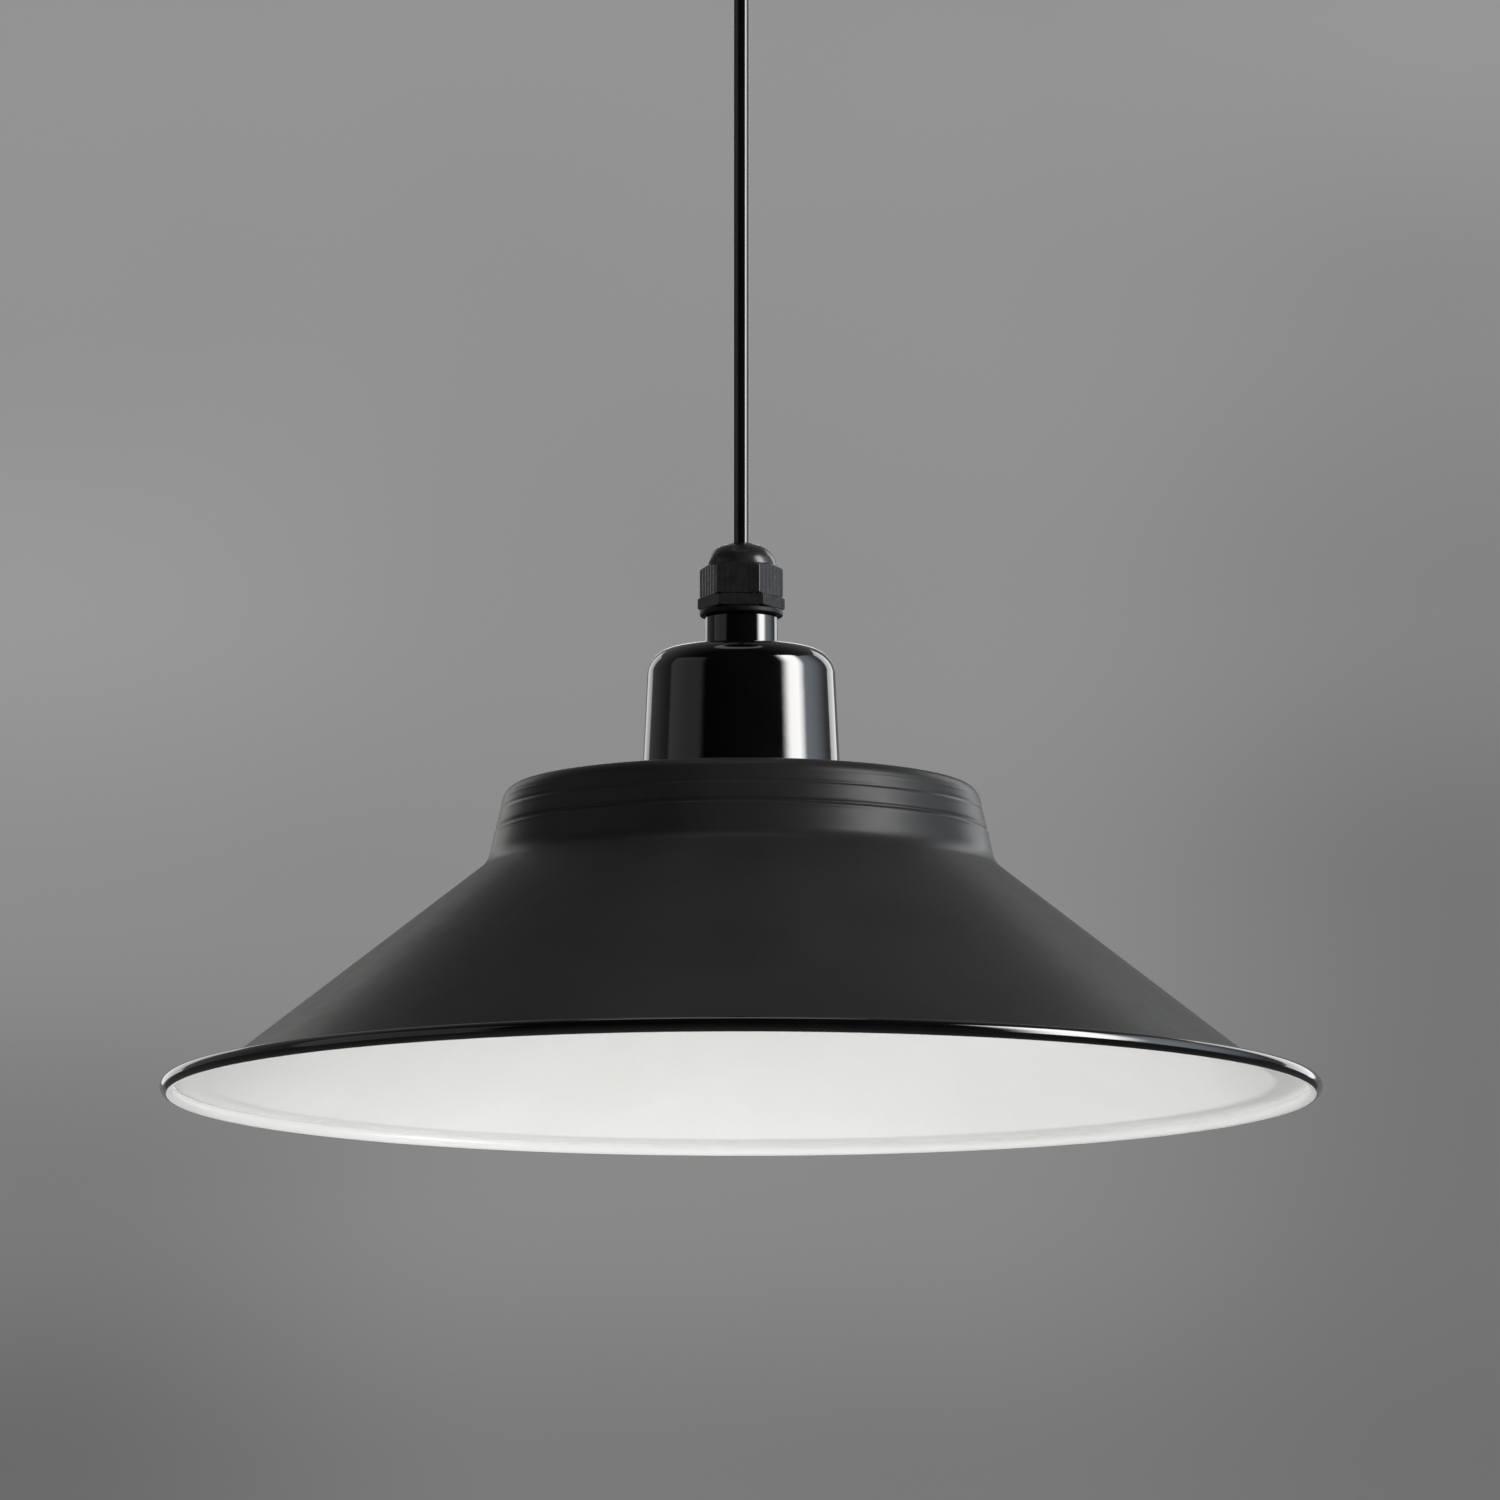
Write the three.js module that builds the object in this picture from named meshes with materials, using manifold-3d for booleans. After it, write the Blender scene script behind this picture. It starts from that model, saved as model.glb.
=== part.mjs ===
// Pendant ceiling light: a wide cone shade on a short black cord below a ceiling rose.
// Millimetres, +Z up. The origin is on the ceiling, at the middle of the ceiling bracket.
import * as THREE from "three";
import { mergeVertices } from "three/addons/utils/BufferGeometryUtils.js";
import Module from "manifold-3d";

const wasm = await Module();
wasm.setup();

// ---- driving dimensions ----
const DROP = 396; // ceiling down to the shade's lowest edge
const GAP = 0.3; // clearance between pieces that touch
const SHEET = 1; // spun steel sheet
const SIDES = { shade: 48, cap: 32, round: 20, small: 10, wire: 8, cord: 10 };
const SHOULDER_STEPS = 4; // chords in the rounding at the top of the cap

// Shade, in heights above its lowest edge
const RIM_R = 180;
const BEAD_R = 2.3;
const BRIM_IN = { r: 165.2, z: 4.7, fillet: 3 };
const CONE_TOP = { r: 78.95, z: 72.1, fillet: 9 };
const CROWN_TOP = { r: 73.3, z: 96.4, fillet: 5 };
const CROWN_HOLE_R = 19.8;

// Cap and neck
const CAP = { footR: 31, topR: 28.9, foot: CROWN_TOP.z + GAP, top: 139.8, shoulder: 8.2 };
const STEM_R = 8; // M16 thread of the cable gland
const STEM_HOLE_R = STEM_R + 0.4;
const NECK = { r: 11.3, foot: CAP.top + GAP, top: 150 };

// Cable gland, M16, 22.7 mm across the flats of its dome nut
const WASHER = { r: 13, foot: NECK.top + GAP, top: 152.3 };
const FLANGE = { corner: 13.7, foot: WASHER.top + GAP, top: 156, turn: 30 };
const NUT = {
  corner: 13.1,
  foot: FLANGE.top + GAP,
  top: 165.7,
  turn: 25.5,
  domeR: 10.95,
  crown: 172.8,
  roof: 2,
};
const NUT_THREAD_R = 9;
const CLAW = { r: 7.4, bore: 5.6, foot: 162, top: 166.2 };
const SEAL = { r: 5.2, foot: 158, shoulder: 168.5, lipR: 3.8, lip: 169.8 };
const STEM_FOOT = 130.3;
const LOCK_NUT_CORNER = 12.5;

// Cord
const CORD_R = 2.5;
const CORD_HOLE_R = CORD_R + GAP;
const CORD_FOOT = 171.8;
const CORD_SHOWS = 1.5; // how far the sheath comes out below the gland's stem
const SWING_Z = 362; // the point that the lamp swings about, in the throat of the cord grip
const SWING_GAP = 1.2; // room for the end of the cord to tilt
const WIRE_R = 1;

// Lampholder, E27
const HOLDER = {
  mouth: 74,
  skirtR: 19.3,
  flangeR: 25,
  flangeFoot: CROWN_TOP.z + GAP,
  join: 100.5,
  bodyR: 18,
  floor: 107.9,
  top: 117,
};
const HOLDER_BORE_R = 15;
const SHELL = { r: 14.4, bore: 13.8, foot: 77.5, top: 104.6 };
const RING = { r: 28.5, bore: 19.8, foot: 91, top: CROWN_TOP.z - SHEET - GAP };
const BRIDGE = { foot: 136.7, thick: 1.5, reach: 20, width: 21, end: 106, screwZ: 112.5 };
const BRIDGE_SCREW = { shankR: 1.4, headR: 3, long: 6, head: 1.8 };
const SCREW_HOLE_R = 1.8;

// Bulb, 45 mm globe with an E27 cap
const GLOBE_R = 22.5;
const GLASS_WALL = 1;
const BULB = {
  foot: 26.4,
  neckR: 12.4,
  baseFoot: 78.7,
  baseTop: 97.7,
  baseR: 13.2,
  insulatorTop: 102.6,
  tip: 104.2,
};

// Ceiling rose, in heights below the ceiling
const CANOPY = { r: 50, edge: -0.5, foot: -26, corner: 7 };
const CANOPY_SCREW_Z = -9;
const CANOPY_HOLE_R = 2.3;
const CANOPY_SCREW = { shankR: 1.7, headR: 3.6, long: 7, head: 2.2 };
const GRIP = { stemR: 4.9, stemTop: -17, collarR: 11, collarFoot: -29, r: 8.9, mouth: -46, mouthR: 7.5 };
const GRIP_THROAT_R = 2.95;
const GRIP_NUT = { corner: 8, foot: -24.7, top: -20.4 };
const TAIL_FOOT = -20; // the cord turns with the lamp below this height, and is clamped above it
const TAIL_TOP = -13.5;
const STRAP = { reach: 46.5, width: 20, thick: 2, tab: 14, slotX: 38, slotLong: 10, slotWide: 4.5 };
const BLOCK = { x: 22, long: 18, wide: 27, top: -2.3, foot: -14.5, poles: 3, pitch: 9, fixY: 4.5 };

// ---- colours ----
const finish = (color, roughness, metalness = 0) =>
  new THREE.MeshStandardMaterial({ color, roughness, metalness });
const BLACK_SATIN = finish(0x1b1b1c, 0.45);
const BLACK_GLOSS = finish(0x08080a, 0.12);
const NYLON = finish(0x161617, 0.5);
const RUBBER = finish(0x0e0e0e, 0.8);
const PVC = finish(0x070707, 0.25);
const BAKELITE = finish(0x101010, 0.3);
const PORCELAIN = finish(0xefece4, 0.25);
const ZINC = finish(0xb4b7ba, 0.35, 1);
const BRASS = finish(0xc8a24a, 0.35, 1);
const OPAL = finish(0xf4f1ea, 0.2);
const GLASS_BLACK = finish(0x0b0b10, 0.15);
const BROWN = finish(0x5a3216, 0.4);
const BLUE = finish(0x1f4fa0, 0.4);
const GREEN = finish(0x5f9a2c, 0.4);

// ---- outlines: lists of [radius, height] ----

// Replaces each corner [r, z, radius] of an open outline by an arc of `steps` chords.
function rounded(corners, steps = 3) {
  const points = [];
  corners.forEach(([r, z, radius], i) => {
    if (!radius) {
      points.push(new THREE.Vector2(r, z));
      return;
    }
    const corner = new THREE.Vector2(r, z);
    const back = new THREE.Vector2(...corners[i - 1].slice(0, 2)).sub(corner).normalize();
    const on = new THREE.Vector2(...corners[i + 1].slice(0, 2)).sub(corner).normalize();
    const half = Math.acos(back.dot(on)) / 2;
    const tangent = radius / Math.tan(half);
    const centre = back.clone().add(on).normalize().multiplyScalar(radius / Math.sin(half)).add(corner);
    const from = back.multiplyScalar(tangent).add(corner).sub(centre);
    const to = on.multiplyScalar(tangent).add(corner).sub(centre);
    const turn = Math.atan2(from.cross(to), from.dot(to));
    for (let k = 0; k <= steps; k++) {
      points.push(from.clone().rotateAround(new THREE.Vector2(), (turn * k) / steps).add(centre));
    }
  });
  return points;
}

// Moves an open outline sideways, to the left of its direction, by the sheet's thickness.
function beside(outline, distance) {
  const normal = (a, b) => b.clone().sub(a).normalize().rotateAround(new THREE.Vector2(), Math.PI / 2);
  return outline.map((p, i) => {
    const before = normal(outline[Math.max(i - 1, 0)], outline[Math.max(i, 1)]);
    const last = outline.length - 1;
    const after = normal(outline[Math.min(i, last - 1)], outline[Math.min(i + 1, last)]);
    const mitre = before.add(after).normalize();
    return mitre.multiplyScalar(distance / mitre.dot(after)).add(p);
  });
}

function arc(r, z, radius, from, to, steps) {
  return Array.from({ length: steps + 1 }, (_, k) => {
    const turn = THREE.MathUtils.degToRad(from + ((to - from) * k) / steps);
    return new THREE.Vector2(r + radius * Math.cos(turn), z + radius * Math.sin(turn));
  });
}

// ---- solids ----

// Turns an outline about Z. It runs up the outside and, on a ring, back down the bore.
function spin(outline, sides = SIDES.round) {
  const points = outline.map((p) => (p.isVector2 ? p : new THREE.Vector2(p[0], p[1])));
  if (points[0].x > 0) points.push(points[0].clone());
  return new THREE.LatheGeometry(points, sides).rotateX(Math.PI / 2);
}

const tube = (bore, r, low, high, sides) => spin([[r, low], [r, high], [bore, high], [bore, low]], sides);
const rod = (r, low, high, sides) => spin([[0, low], [r, low], [r, high], [0, high]], sides);
const hexagon = (corner, low, high, turn = 0) =>
  new THREE.CylinderGeometry(corner, corner, high - low, 6)
    .rotateX(Math.PI / 2)
    .rotateZ(THREE.MathUtils.degToRad(turn))
    .translate(0, 0, (low + high) / 2);
const block = (x0, x1, y0, y1, z0, z1) =>
  new THREE.BoxGeometry(x1 - x0, y1 - y0, z1 - z0).translate((x0 + x1) / 2, (y0 + y1) / 2, (z0 + z1) / 2);
const alongX = (geometry) => geometry.rotateY(Math.PI / 2);

// A round cord or wire along a curve.
function cable(points, r, sides, steps) {
  const section = new THREE.Shape().absarc(0, 0, r, 0, 2 * Math.PI);
  const curve = new THREE.CatmullRomCurve3(points.map((p) => new THREE.Vector3(...p)));
  return new THREE.ExtrudeGeometry(section, {
    curveSegments: sides / 2,
    steps,
    bevelEnabled: false,
    extrudePath: curve,
  });
}

const cordLength = (low, high, steps) => cable([[0, 0, low], [0, 0, high]], CORD_R, SIDES.cord, steps);

// ---- cutting and joining ----
function toManifold(geometry) {
  const bare = geometry.clone();
  bare.deleteAttribute("normal");
  bare.deleteAttribute("uv");
  const merged = mergeVertices(bare, 1e-3);
  const faces = [];
  for (let i = 0; i < merged.index.count; i += 3) {
    const [a, b, c] = merged.index.array.slice(i, i + 3);
    if (a !== b && b !== c && c !== a) faces.push(a, b, c);
  }
  return new wasm.Manifold(
    new wasm.Mesh({
      numProp: 3,
      vertProperties: merged.attributes.position.array,
      triVerts: new Uint32Array(faces),
    }),
  );
}

function toGeometry(solid) {
  const { vertProperties, triVerts } = solid.getMesh();
  return new THREE.BufferGeometry()
    .setAttribute("position", new THREE.BufferAttribute(vertProperties, 3))
    .setIndex(new THREE.BufferAttribute(triVerts, 1));
}

const cut = (geometry, tools) =>
  toGeometry(tools.reduce((solid, tool) => solid.subtract(toManifold(tool)), toManifold(geometry)));
const join = (geometry, others) =>
  toGeometry(others.reduce((solid, other) => solid.add(toManifold(other)), toManifold(geometry)));

function add(group, name, geometry, material) {
  geometry.computeVertexNormals();
  const mesh = new THREE.Mesh(geometry, material);
  mesh.name = name;
  group.add(mesh);
}

// ---- the shade and what holds it ----

// One spun sheet: crown disc, crown wall, cone and brim, with its edge rolled into a bead.
function shade() {
  const outside = rounded([
    [RIM_R - BEAD_R, 2 * BEAD_R],
    [BRIM_IN.r, BRIM_IN.z, BRIM_IN.fillet],
    [CONE_TOP.r, CONE_TOP.z, CONE_TOP.fillet],
    [CROWN_TOP.r, CROWN_TOP.z, CROWN_TOP.fillet],
    [CROWN_HOLE_R, CROWN_TOP.z],
  ], 2);
  const inside = beside(outside, SHEET).reverse();
  const bead = arc(RIM_R - BEAD_R, BEAD_R, BEAD_R, -210, 90, 7);
  return spin([...bead.slice(0, -1), ...outside, ...inside], SIDES.shade);
}

function shadeRing() {
  return tube(RING.bore, RING.r, RING.foot, RING.top);
}

// ---- the cap, the neck and the cable gland ----
function cap() {
  const outside = rounded([
    [CAP.footR, CAP.foot],
    [CAP.topR, CAP.top, CAP.shoulder],
    [STEM_HOLE_R, CAP.top],
  ], SHOULDER_STEPS);
  return spin([...outside, ...beside(outside, SHEET).reverse()], SIDES.cap);
}

// Claw ring, threaded part for the dome nut, hexagon flange and long M16 stem in one piece.
function glandBody() {
  const seat = FLANGE.foot + 0.5;
  const round = spin([
    [STEM_R, STEM_FOOT],
    [STEM_R, seat],
    [NUT_THREAD_R, seat],
    [NUT_THREAD_R, CLAW.foot],
    [CLAW.r, CLAW.foot + 1],
    [CLAW.r, CLAW.top],
    [CLAW.bore, CLAW.top],
    [CLAW.bore, STEM_FOOT],
  ]);
  const flange = hexagon(FLANGE.corner, FLANGE.foot, FLANGE.top, FLANGE.turn);
  return join(round, [cut(flange, [rod(CLAW.bore, FLANGE.foot - 1, FLANGE.top + 1)])]);
}

function glandNut() {
  const hex = hexagon(NUT.corner, NUT.foot, NUT.top, NUT.turn);
  const dome = spin([
    [0, NUT.top - 1],
    [NUT.domeR, NUT.top - 1],
    [NUT.domeR, NUT.top + 0.6],
    [NUT.domeR - 0.4, NUT.top + 2.4],
    [NUT.domeR - 1.4, NUT.top + 4.4],
    [NUT.domeR - 3.3, NUT.top + 6.1],
    [NUT.domeR - 6.2, NUT.crown],
    [0, NUT.crown],
  ]);
  const cavity = spin([
    [0, NUT.foot - 1],
    [NUT_THREAD_R + 0.4, NUT.foot - 1],
    [NUT_THREAD_R + 0.4, CLAW.foot + 0.4],
    [CLAW.r + 0.5, CLAW.foot + 1.4],
    [CLAW.r + 0.5, CLAW.top + 0.6],
    [CLAW.bore, NUT.crown - NUT.roof - 1.2],
    [SEAL.lipR + 0.4, NUT.crown - NUT.roof],
    [SEAL.lipR + 0.4, NUT.crown + 1],
    [0, NUT.crown + 1],
  ]);
  return cut(join(hex, [dome]), [cavity]);
}

function glandSeal() {
  return spin([
    [SEAL.r, SEAL.foot],
    [SEAL.r, SEAL.shoulder],
    [SEAL.lipR, SEAL.lip],
    [SEAL.lipR, NUT.crown + 0.4],
    [CORD_HOLE_R, NUT.crown + 0.6],
    [CORD_HOLE_R, SEAL.foot],
  ], SIDES.round);
}

function lockNut() {
  const [foot, top] = [BRIDGE.foot - 5, BRIDGE.foot - GAP];
  return cut(hexagon(LOCK_NUT_CORNER, foot, top), [rod(STEM_HOLE_R, foot - 1, top + 1)]);
}

// ---- the lampholder ----
const screwHole = (xa, xb, y, z, r = SCREW_HOLE_R) =>
  alongX(rod(r, Math.min(xa, xb), Math.max(xa, xb), SIDES.small)).translate(0, y, z);

function holderBody() {
  const foot = HOLDER.join + GAP;
  const cup = spin([
    [0, HOLDER.floor],
    [HOLDER_BORE_R, HOLDER.floor],
    [HOLDER_BORE_R, foot],
    [HOLDER.bodyR, foot],
    [HOLDER.bodyR, HOLDER.top - 1],
    [HOLDER.bodyR - 1, HOLDER.top],
    [0, HOLDER.top],
  ]);
  const holes = [-1, 1].map((side) => screwHole(side * 12.5, side * 19, 0, BRIDGE.screwZ));
  return cut(cup, holes);
}

function holderSkirt() {
  return spin([
    [HOLDER.skirtR - 1, HOLDER.mouth],
    [HOLDER.skirtR, HOLDER.mouth + 1],
    [HOLDER.skirtR, HOLDER.flangeFoot],
    [HOLDER.flangeR, HOLDER.flangeFoot],
    [HOLDER.flangeR, HOLDER.join],
    [HOLDER_BORE_R, HOLDER.join],
    [HOLDER_BORE_R, HOLDER.mouth],
  ], SIDES.cap);
}

function centreContact() {
  const low = BULB.tip + GAP;
  return spin([
    [0, low],
    [3, low],
    [3, low + 1],
    [9, low + 2],
    [9, low + 3],
    [0, low + 3],
  ], SIDES.small);
}

// A steel strap bent down at both ends, which hangs the lampholder on the gland's stem.
function bridge() {
  const { foot, thick, reach, width, end, screwZ } = BRIDGE;
  const plate = block(-reach, reach, -width / 2, width / 2, foot, foot + thick);
  const arms = [-1, 1].map((side) =>
    block(Math.min(side * reach, side * (reach - thick)), Math.max(side * reach, side * (reach - thick)),
      -width / 2, width / 2, end, foot + thick / 2));
  const holes = [-1, 1].map((side) => screwHole(side * (reach - 3), side * (reach + 1), 0, screwZ));
  return cut(join(plate, arms), [rod(STEM_HOLE_R, foot - 1, foot + thick + 1), ...holes]);
}

// A round-headed screw with its head at the origin's +Z side.
function screw({ shankR, headR, long, head }) {
  return spin([
    [0, -long],
    [shankR, -long],
    [shankR, 0],
    [headR, 0],
    [headR, head * 0.5],
    [headR * 0.6, head],
    [0, head],
  ], SIDES.small);
}

const sideScrew = (side, x, z, size) => screw(size).rotateY((side * Math.PI) / 2).translate(side * x, 0, z);

// ---- the bulb ----
// A thin closed shell, whose neck stands in the metal base.
function bulbGlass() {
  const centre = BULB.foot + GLOBE_R;
  const outside = [
    ...arc(0, centre, GLOBE_R, -90, 50, 9),
    new THREE.Vector2(BULB.neckR + 0.5, centre + 20.4),
    new THREE.Vector2(BULB.neckR, centre + 24),
    new THREE.Vector2(BULB.neckR, BULB.baseFoot - GAP),
  ];
  const inside = beside(outside, GLASS_WALL).reverse();
  inside[inside.length - 1].x = 0;
  return spin([...outside, ...inside], SIDES.round);
}

function bulbParts() {
  const bulb = new THREE.Group();
  const { baseFoot, baseTop, baseR, insulatorTop, tip } = BULB;
  add(bulb, "bulb_glass", bulbGlass(), OPAL);
  add(bulb, "bulb_base", spin([
    [baseR, baseFoot],
    [baseR, baseTop - 2],
    [baseR - 1.5, baseTop],
    [baseR - 2.3, baseTop],
    [baseR - 0.8, baseTop - 2],
    [baseR - 0.8, baseFoot],
  ]), ZINC);
  add(bulb, "bulb_insulator", spin([
    [0, baseTop + GAP],
    [baseR - 1.8, baseTop + GAP],
    [6, insulatorTop],
    [0, insulatorTop],
  ]), GLASS_BLACK);
  add(bulb, "bulb_contact", spin([
    [0, insulatorTop + GAP],
    [4.6, insulatorTop + GAP],
    [3.4, tip - 0.3],
    [0, tip],
  ], SIDES.small), BRASS);
  return bulb;
}

// ---- the lamp, in heights above the shade's lowest edge ----
function lampWires(lamp) {
  const start = STEM_FOOT - 1.8;
  const endZ = HOLDER.top + 1.9;
  const screwAt = { x: 8, y: 5.5, r: 2.2 };
  const spread = 1.25;
  [["live", 1, BROWN], ["neutral", -1, BLUE]].forEach(([name, side, colour]) => {
    add(lamp, `holder_${name}_wire`, cable([
      [side * spread, spread * 0.6, start],
      [side * spread, spread * 0.6, start - 2],
      [side * 3.4, -1.5, endZ + 2.2],
      [side * 6.4, -1.2, endZ],
      [side * screwAt.x, screwAt.y - screwAt.r - GAP, endZ],
    ], WIRE_R, SIDES.wire, 10), colour);
    const head = rod(screwAt.r, HOLDER.top + GAP, endZ + 1.4, SIDES.small);
    add(lamp, `holder_${name}_screw`, head.translate(side * screwAt.x, screwAt.y, 0), BRASS);
  });
  const tagX = BRIDGE.reach - BRIDGE.thick - GAP;
  add(lamp, "holder_earth_wire", cable([
    [0, -spread, start],
    [0.5, -spread - 0.3, start - 2],
    [5, -4, start - 3.6],
    [10, -4.4, start - 2.6],
    [tagX - 3 - GAP, -4, start - 1.8],
  ], WIRE_R, SIDES.wire, 10), GREEN);
  const tag = alongX(rod(2, -1.5, 1.5, SIDES.small)).translate(tagX - 1.5, -4, start - 1.8);
  add(lamp, "bridge_earth_screw", tag, BRASS);
}

function lamp() {
  const group = new THREE.Group();
  group.position.z = -DROP;
  add(group, "cord", cordLength(CORD_FOOT, SWING_Z, 14), PVC);
  add(group, "cord_lower_tail", cordLength(STEM_FOOT - CORD_SHOWS, CORD_FOOT - GAP, 3), PVC);
  add(group, "gland_nut", glandNut(), NYLON);
  add(group, "gland_seal", glandSeal(), RUBBER);
  add(group, "gland_body", glandBody(), NYLON);
  add(group, "gland_washer", tube(STEM_HOLE_R, WASHER.r, WASHER.foot, WASHER.top), RUBBER);
  add(group, "gland_lock_nut", lockNut(), ZINC);
  add(group, "neck", tube(STEM_HOLE_R, NECK.r, NECK.foot, NECK.top), BLACK_GLOSS);
  add(group, "cap", cap(), BLACK_GLOSS);
  add(group, "holder_bridge", bridge(), ZINC);
  [["left", -1], ["right", 1]].forEach(([name, side]) => {
    const screwed = sideScrew(side, BRIDGE.reach + GAP, BRIDGE.screwZ, BRIDGE_SCREW);
    add(group, `bridge_screw_${name}`, screwed, ZINC);
  });
  add(group, "holder_body", holderBody(), PORCELAIN);
  add(group, "holder_skirt", holderSkirt(), BAKELITE);
  add(group, "screw_shell", tube(SHELL.bore, SHELL.r, SHELL.foot, SHELL.top), BRASS);
  add(group, "centre_contact", centreContact(), BRASS);
  lampWires(group);
  add(group, "shade", shade(), BLACK_SATIN);
  add(group, "shade_ring", shadeRing(), BAKELITE);
  group.add(bulbParts());
  return group;
}

// ---- the ceiling rose, in heights below the ceiling ----
const poleSpots = Array.from({ length: BLOCK.poles }, (_, k) => (k - (BLOCK.poles - 1) / 2) * BLOCK.pitch);
const wellX = (side) => BLOCK.x + side * BLOCK.long * 0.29;
const BLOCK_WIRE_Z = (BLOCK.top + BLOCK.foot) / 2 + 1.5;
const FIX_HOLE_R = 1.6;
const blockFixes = (low, high) =>
  [-1, 1].map((side) => rod(FIX_HOLE_R, low, high, SIDES.small).translate(BLOCK.x, side * BLOCK.fixY, 0));

function strap() {
  const { reach, width, thick, tab, slotX, slotLong, slotWide } = STRAP;
  const plate = block(-reach, reach, -width / 2, width / 2, -thick, 0);
  const tabs = [block(-reach, thick - reach, -width / 2, width / 2, -tab, -thick / 2),
    block(reach - thick, reach, -width / 2, width / 2, -tab, -thick / 2)];
  const end = (slotLong - slotWide) / 2;
  const slot = new THREE.Shape()
    .absarc(end, 0, slotWide / 2, -Math.PI / 2, Math.PI / 2)
    .absarc(-end, 0, slotWide / 2, Math.PI / 2, 1.5 * Math.PI);
  const cutter = new THREE.ExtrudeGeometry(slot, { depth: 3 * thick, bevelEnabled: false, curveSegments: 6 });
  const slots = [-1, 1].map((side) => cutter.clone().translate(side * slotX, 0, -2 * thick));
  const holes = [-1, 1].map((side) =>
    screwHole(side * (reach - 4), side * (reach + 2), 0, CANOPY_SCREW_Z, CANOPY_HOLE_R));
  return cut(join(plate, tabs), [...slots, ...holes, ...blockFixes(-3 * thick, 1)]);
}

function canopy() {
  const outside = rounded([
    [GRIP.stemR + 0.5, CANOPY.foot],
    [CANOPY.r - 0.6, CANOPY.foot, CANOPY.corner],
    [CANOPY.r, CANOPY.edge],
  ]);
  const cup = spin([...outside, ...beside(outside, SHEET).reverse()], SIDES.cap);
  const holes = [-1, 1].map((side) =>
    screwHole(side * (CANOPY.r - 4), side * (CANOPY.r + 2), 0, CANOPY_SCREW_Z, CANOPY_HOLE_R));
  return cut(cup, holes);
}

// Strain relief with a stem through the canopy and a bell mouth in which the cord can swing.
function grip() {
  const { stemR, stemTop, collarR, collarFoot, r, mouth, mouthR } = GRIP;
  const collarTop = CANOPY.foot - GAP;
  const throat = SWING_Z - DROP;
  return spin([
    [r - 0.7, mouth],
    [r, mouth + 0.8],
    [r - 0.8, collarFoot - 2],
    [r + 0.2, collarFoot - 0.4],
    [collarR, collarFoot],
    [collarR, collarTop],
    [stemR, collarTop],
    [stemR, stemTop],
    [GRIP_THROAT_R, stemTop],
    [GRIP_THROAT_R, throat],
    [mouthR, mouth],
  ]);
}

function gripNut() {
  const { corner, foot, top } = GRIP_NUT;
  return cut(hexagon(corner, foot, top), [rod(GRIP.stemR + 0.4, foot - 1, top + 1)]);
}

// A screw terminal strip with a through hole and two screw wells for each wire.
function terminalBlock() {
  const { x, long, wide, top, foot } = BLOCK;
  const body = block(x - long / 2, x + long / 2, -wide / 2, wide / 2, foot, top);
  const holes = poleSpots.map((y) => screwHole(x - long, x + long, y, BLOCK_WIRE_Z, 1.6));
  const wells = poleSpots.flatMap((y) =>
    [-1, 1].map((side) => rod(2.5, foot - 1, foot + 3, SIDES.small).translate(wellX(side), y, 0)));
  return cut(body, [...holes, ...wells, ...blockFixes(foot - 1, top + 1)]);
}

function terminals(rose) {
  const { x, long, foot, top, fixY } = BLOCK;
  const inner = x - long / 2;
  const start = { r: 1.3, z: TAIL_TOP + GAP };
  [["live", BROWN], ["earth", GREEN], ["neutral", BLUE]].forEach(([name, colour], k) => {
    const y = poleSpots[k];
    [["mains", 1], ["lamp", -1]].forEach(([end, side]) => {
      const head = rod(2.1, foot + 0.4, foot + 2.6, SIDES.small).translate(wellX(side), y, 0);
      add(rose, `${name}_${end}_screw`, head, BRASS);
    });
    const turn = THREE.MathUtils.degToRad(120 * (k - 1));
    const [startX, startY] = [start.r * Math.cos(turn), start.r * Math.sin(turn)];
    add(rose, `canopy_${name}_wire`, cable([
      [startX, startY, start.z],
      [startX * 1.6, startY * 1.4, start.z + 2.7],
      [inner * 0.36, y * 0.5, BLOCK_WIRE_Z + 0.6],
      [inner * 0.7, y * 0.95, BLOCK_WIRE_Z],
      [inner - 1, y, BLOCK_WIRE_Z],
      [inner + 2, y, BLOCK_WIRE_Z],
    ], WIRE_R, SIDES.wire, 11), colour);
  });
  [["front", -1], ["back", 1]].forEach(([name, side]) => {
    const size = { shankR: 1.2, headR: 2.2, long: top - foot + STRAP.thick - GAP, head: 1.4 };
    const fix = screw(size).rotateX(Math.PI).translate(x, side * fixY, foot - GAP);
    add(rose, `block_screw_${name}`, fix, ZINC);
  });
}

function rose() {
  const group = new THREE.Group();
  const throat = SWING_Z - DROP;
  add(group, "ceiling_bracket", strap(), ZINC);
  add(group, "canopy", canopy(), BLACK_GLOSS);
  [["left", -1], ["right", 1]].forEach(([name, side]) => {
    add(group, `canopy_screw_${name}`, sideScrew(side, CANOPY.r + GAP, CANOPY_SCREW_Z, CANOPY_SCREW), ZINC);
  });
  add(group, "cord_grip", grip(), NYLON);
  add(group, "cord_grip_nut", gripNut(), ZINC);
  add(group, "terminal_block", terminalBlock(), PORCELAIN);
  add(group, "cord_upper_tail", cordLength(TAIL_FOOT, TAIL_TOP, 2), PVC);
  add(group, "cord_throat", cordLength(throat + SWING_GAP, TAIL_FOOT - GAP, 2), PVC);
  terminals(group);
  return group;
}

const pendant = new THREE.Group();
pendant.add(rose(), lamp());
export default pendant;
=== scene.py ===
"""A pendant ceiling lamp: a satin black spun shade with a gloss rim and a white inside, a gloss black cap and
neck, a nylon cable gland, a lampholder and bulb, and a black cord from a small ceiling rose."""

import math

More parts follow.
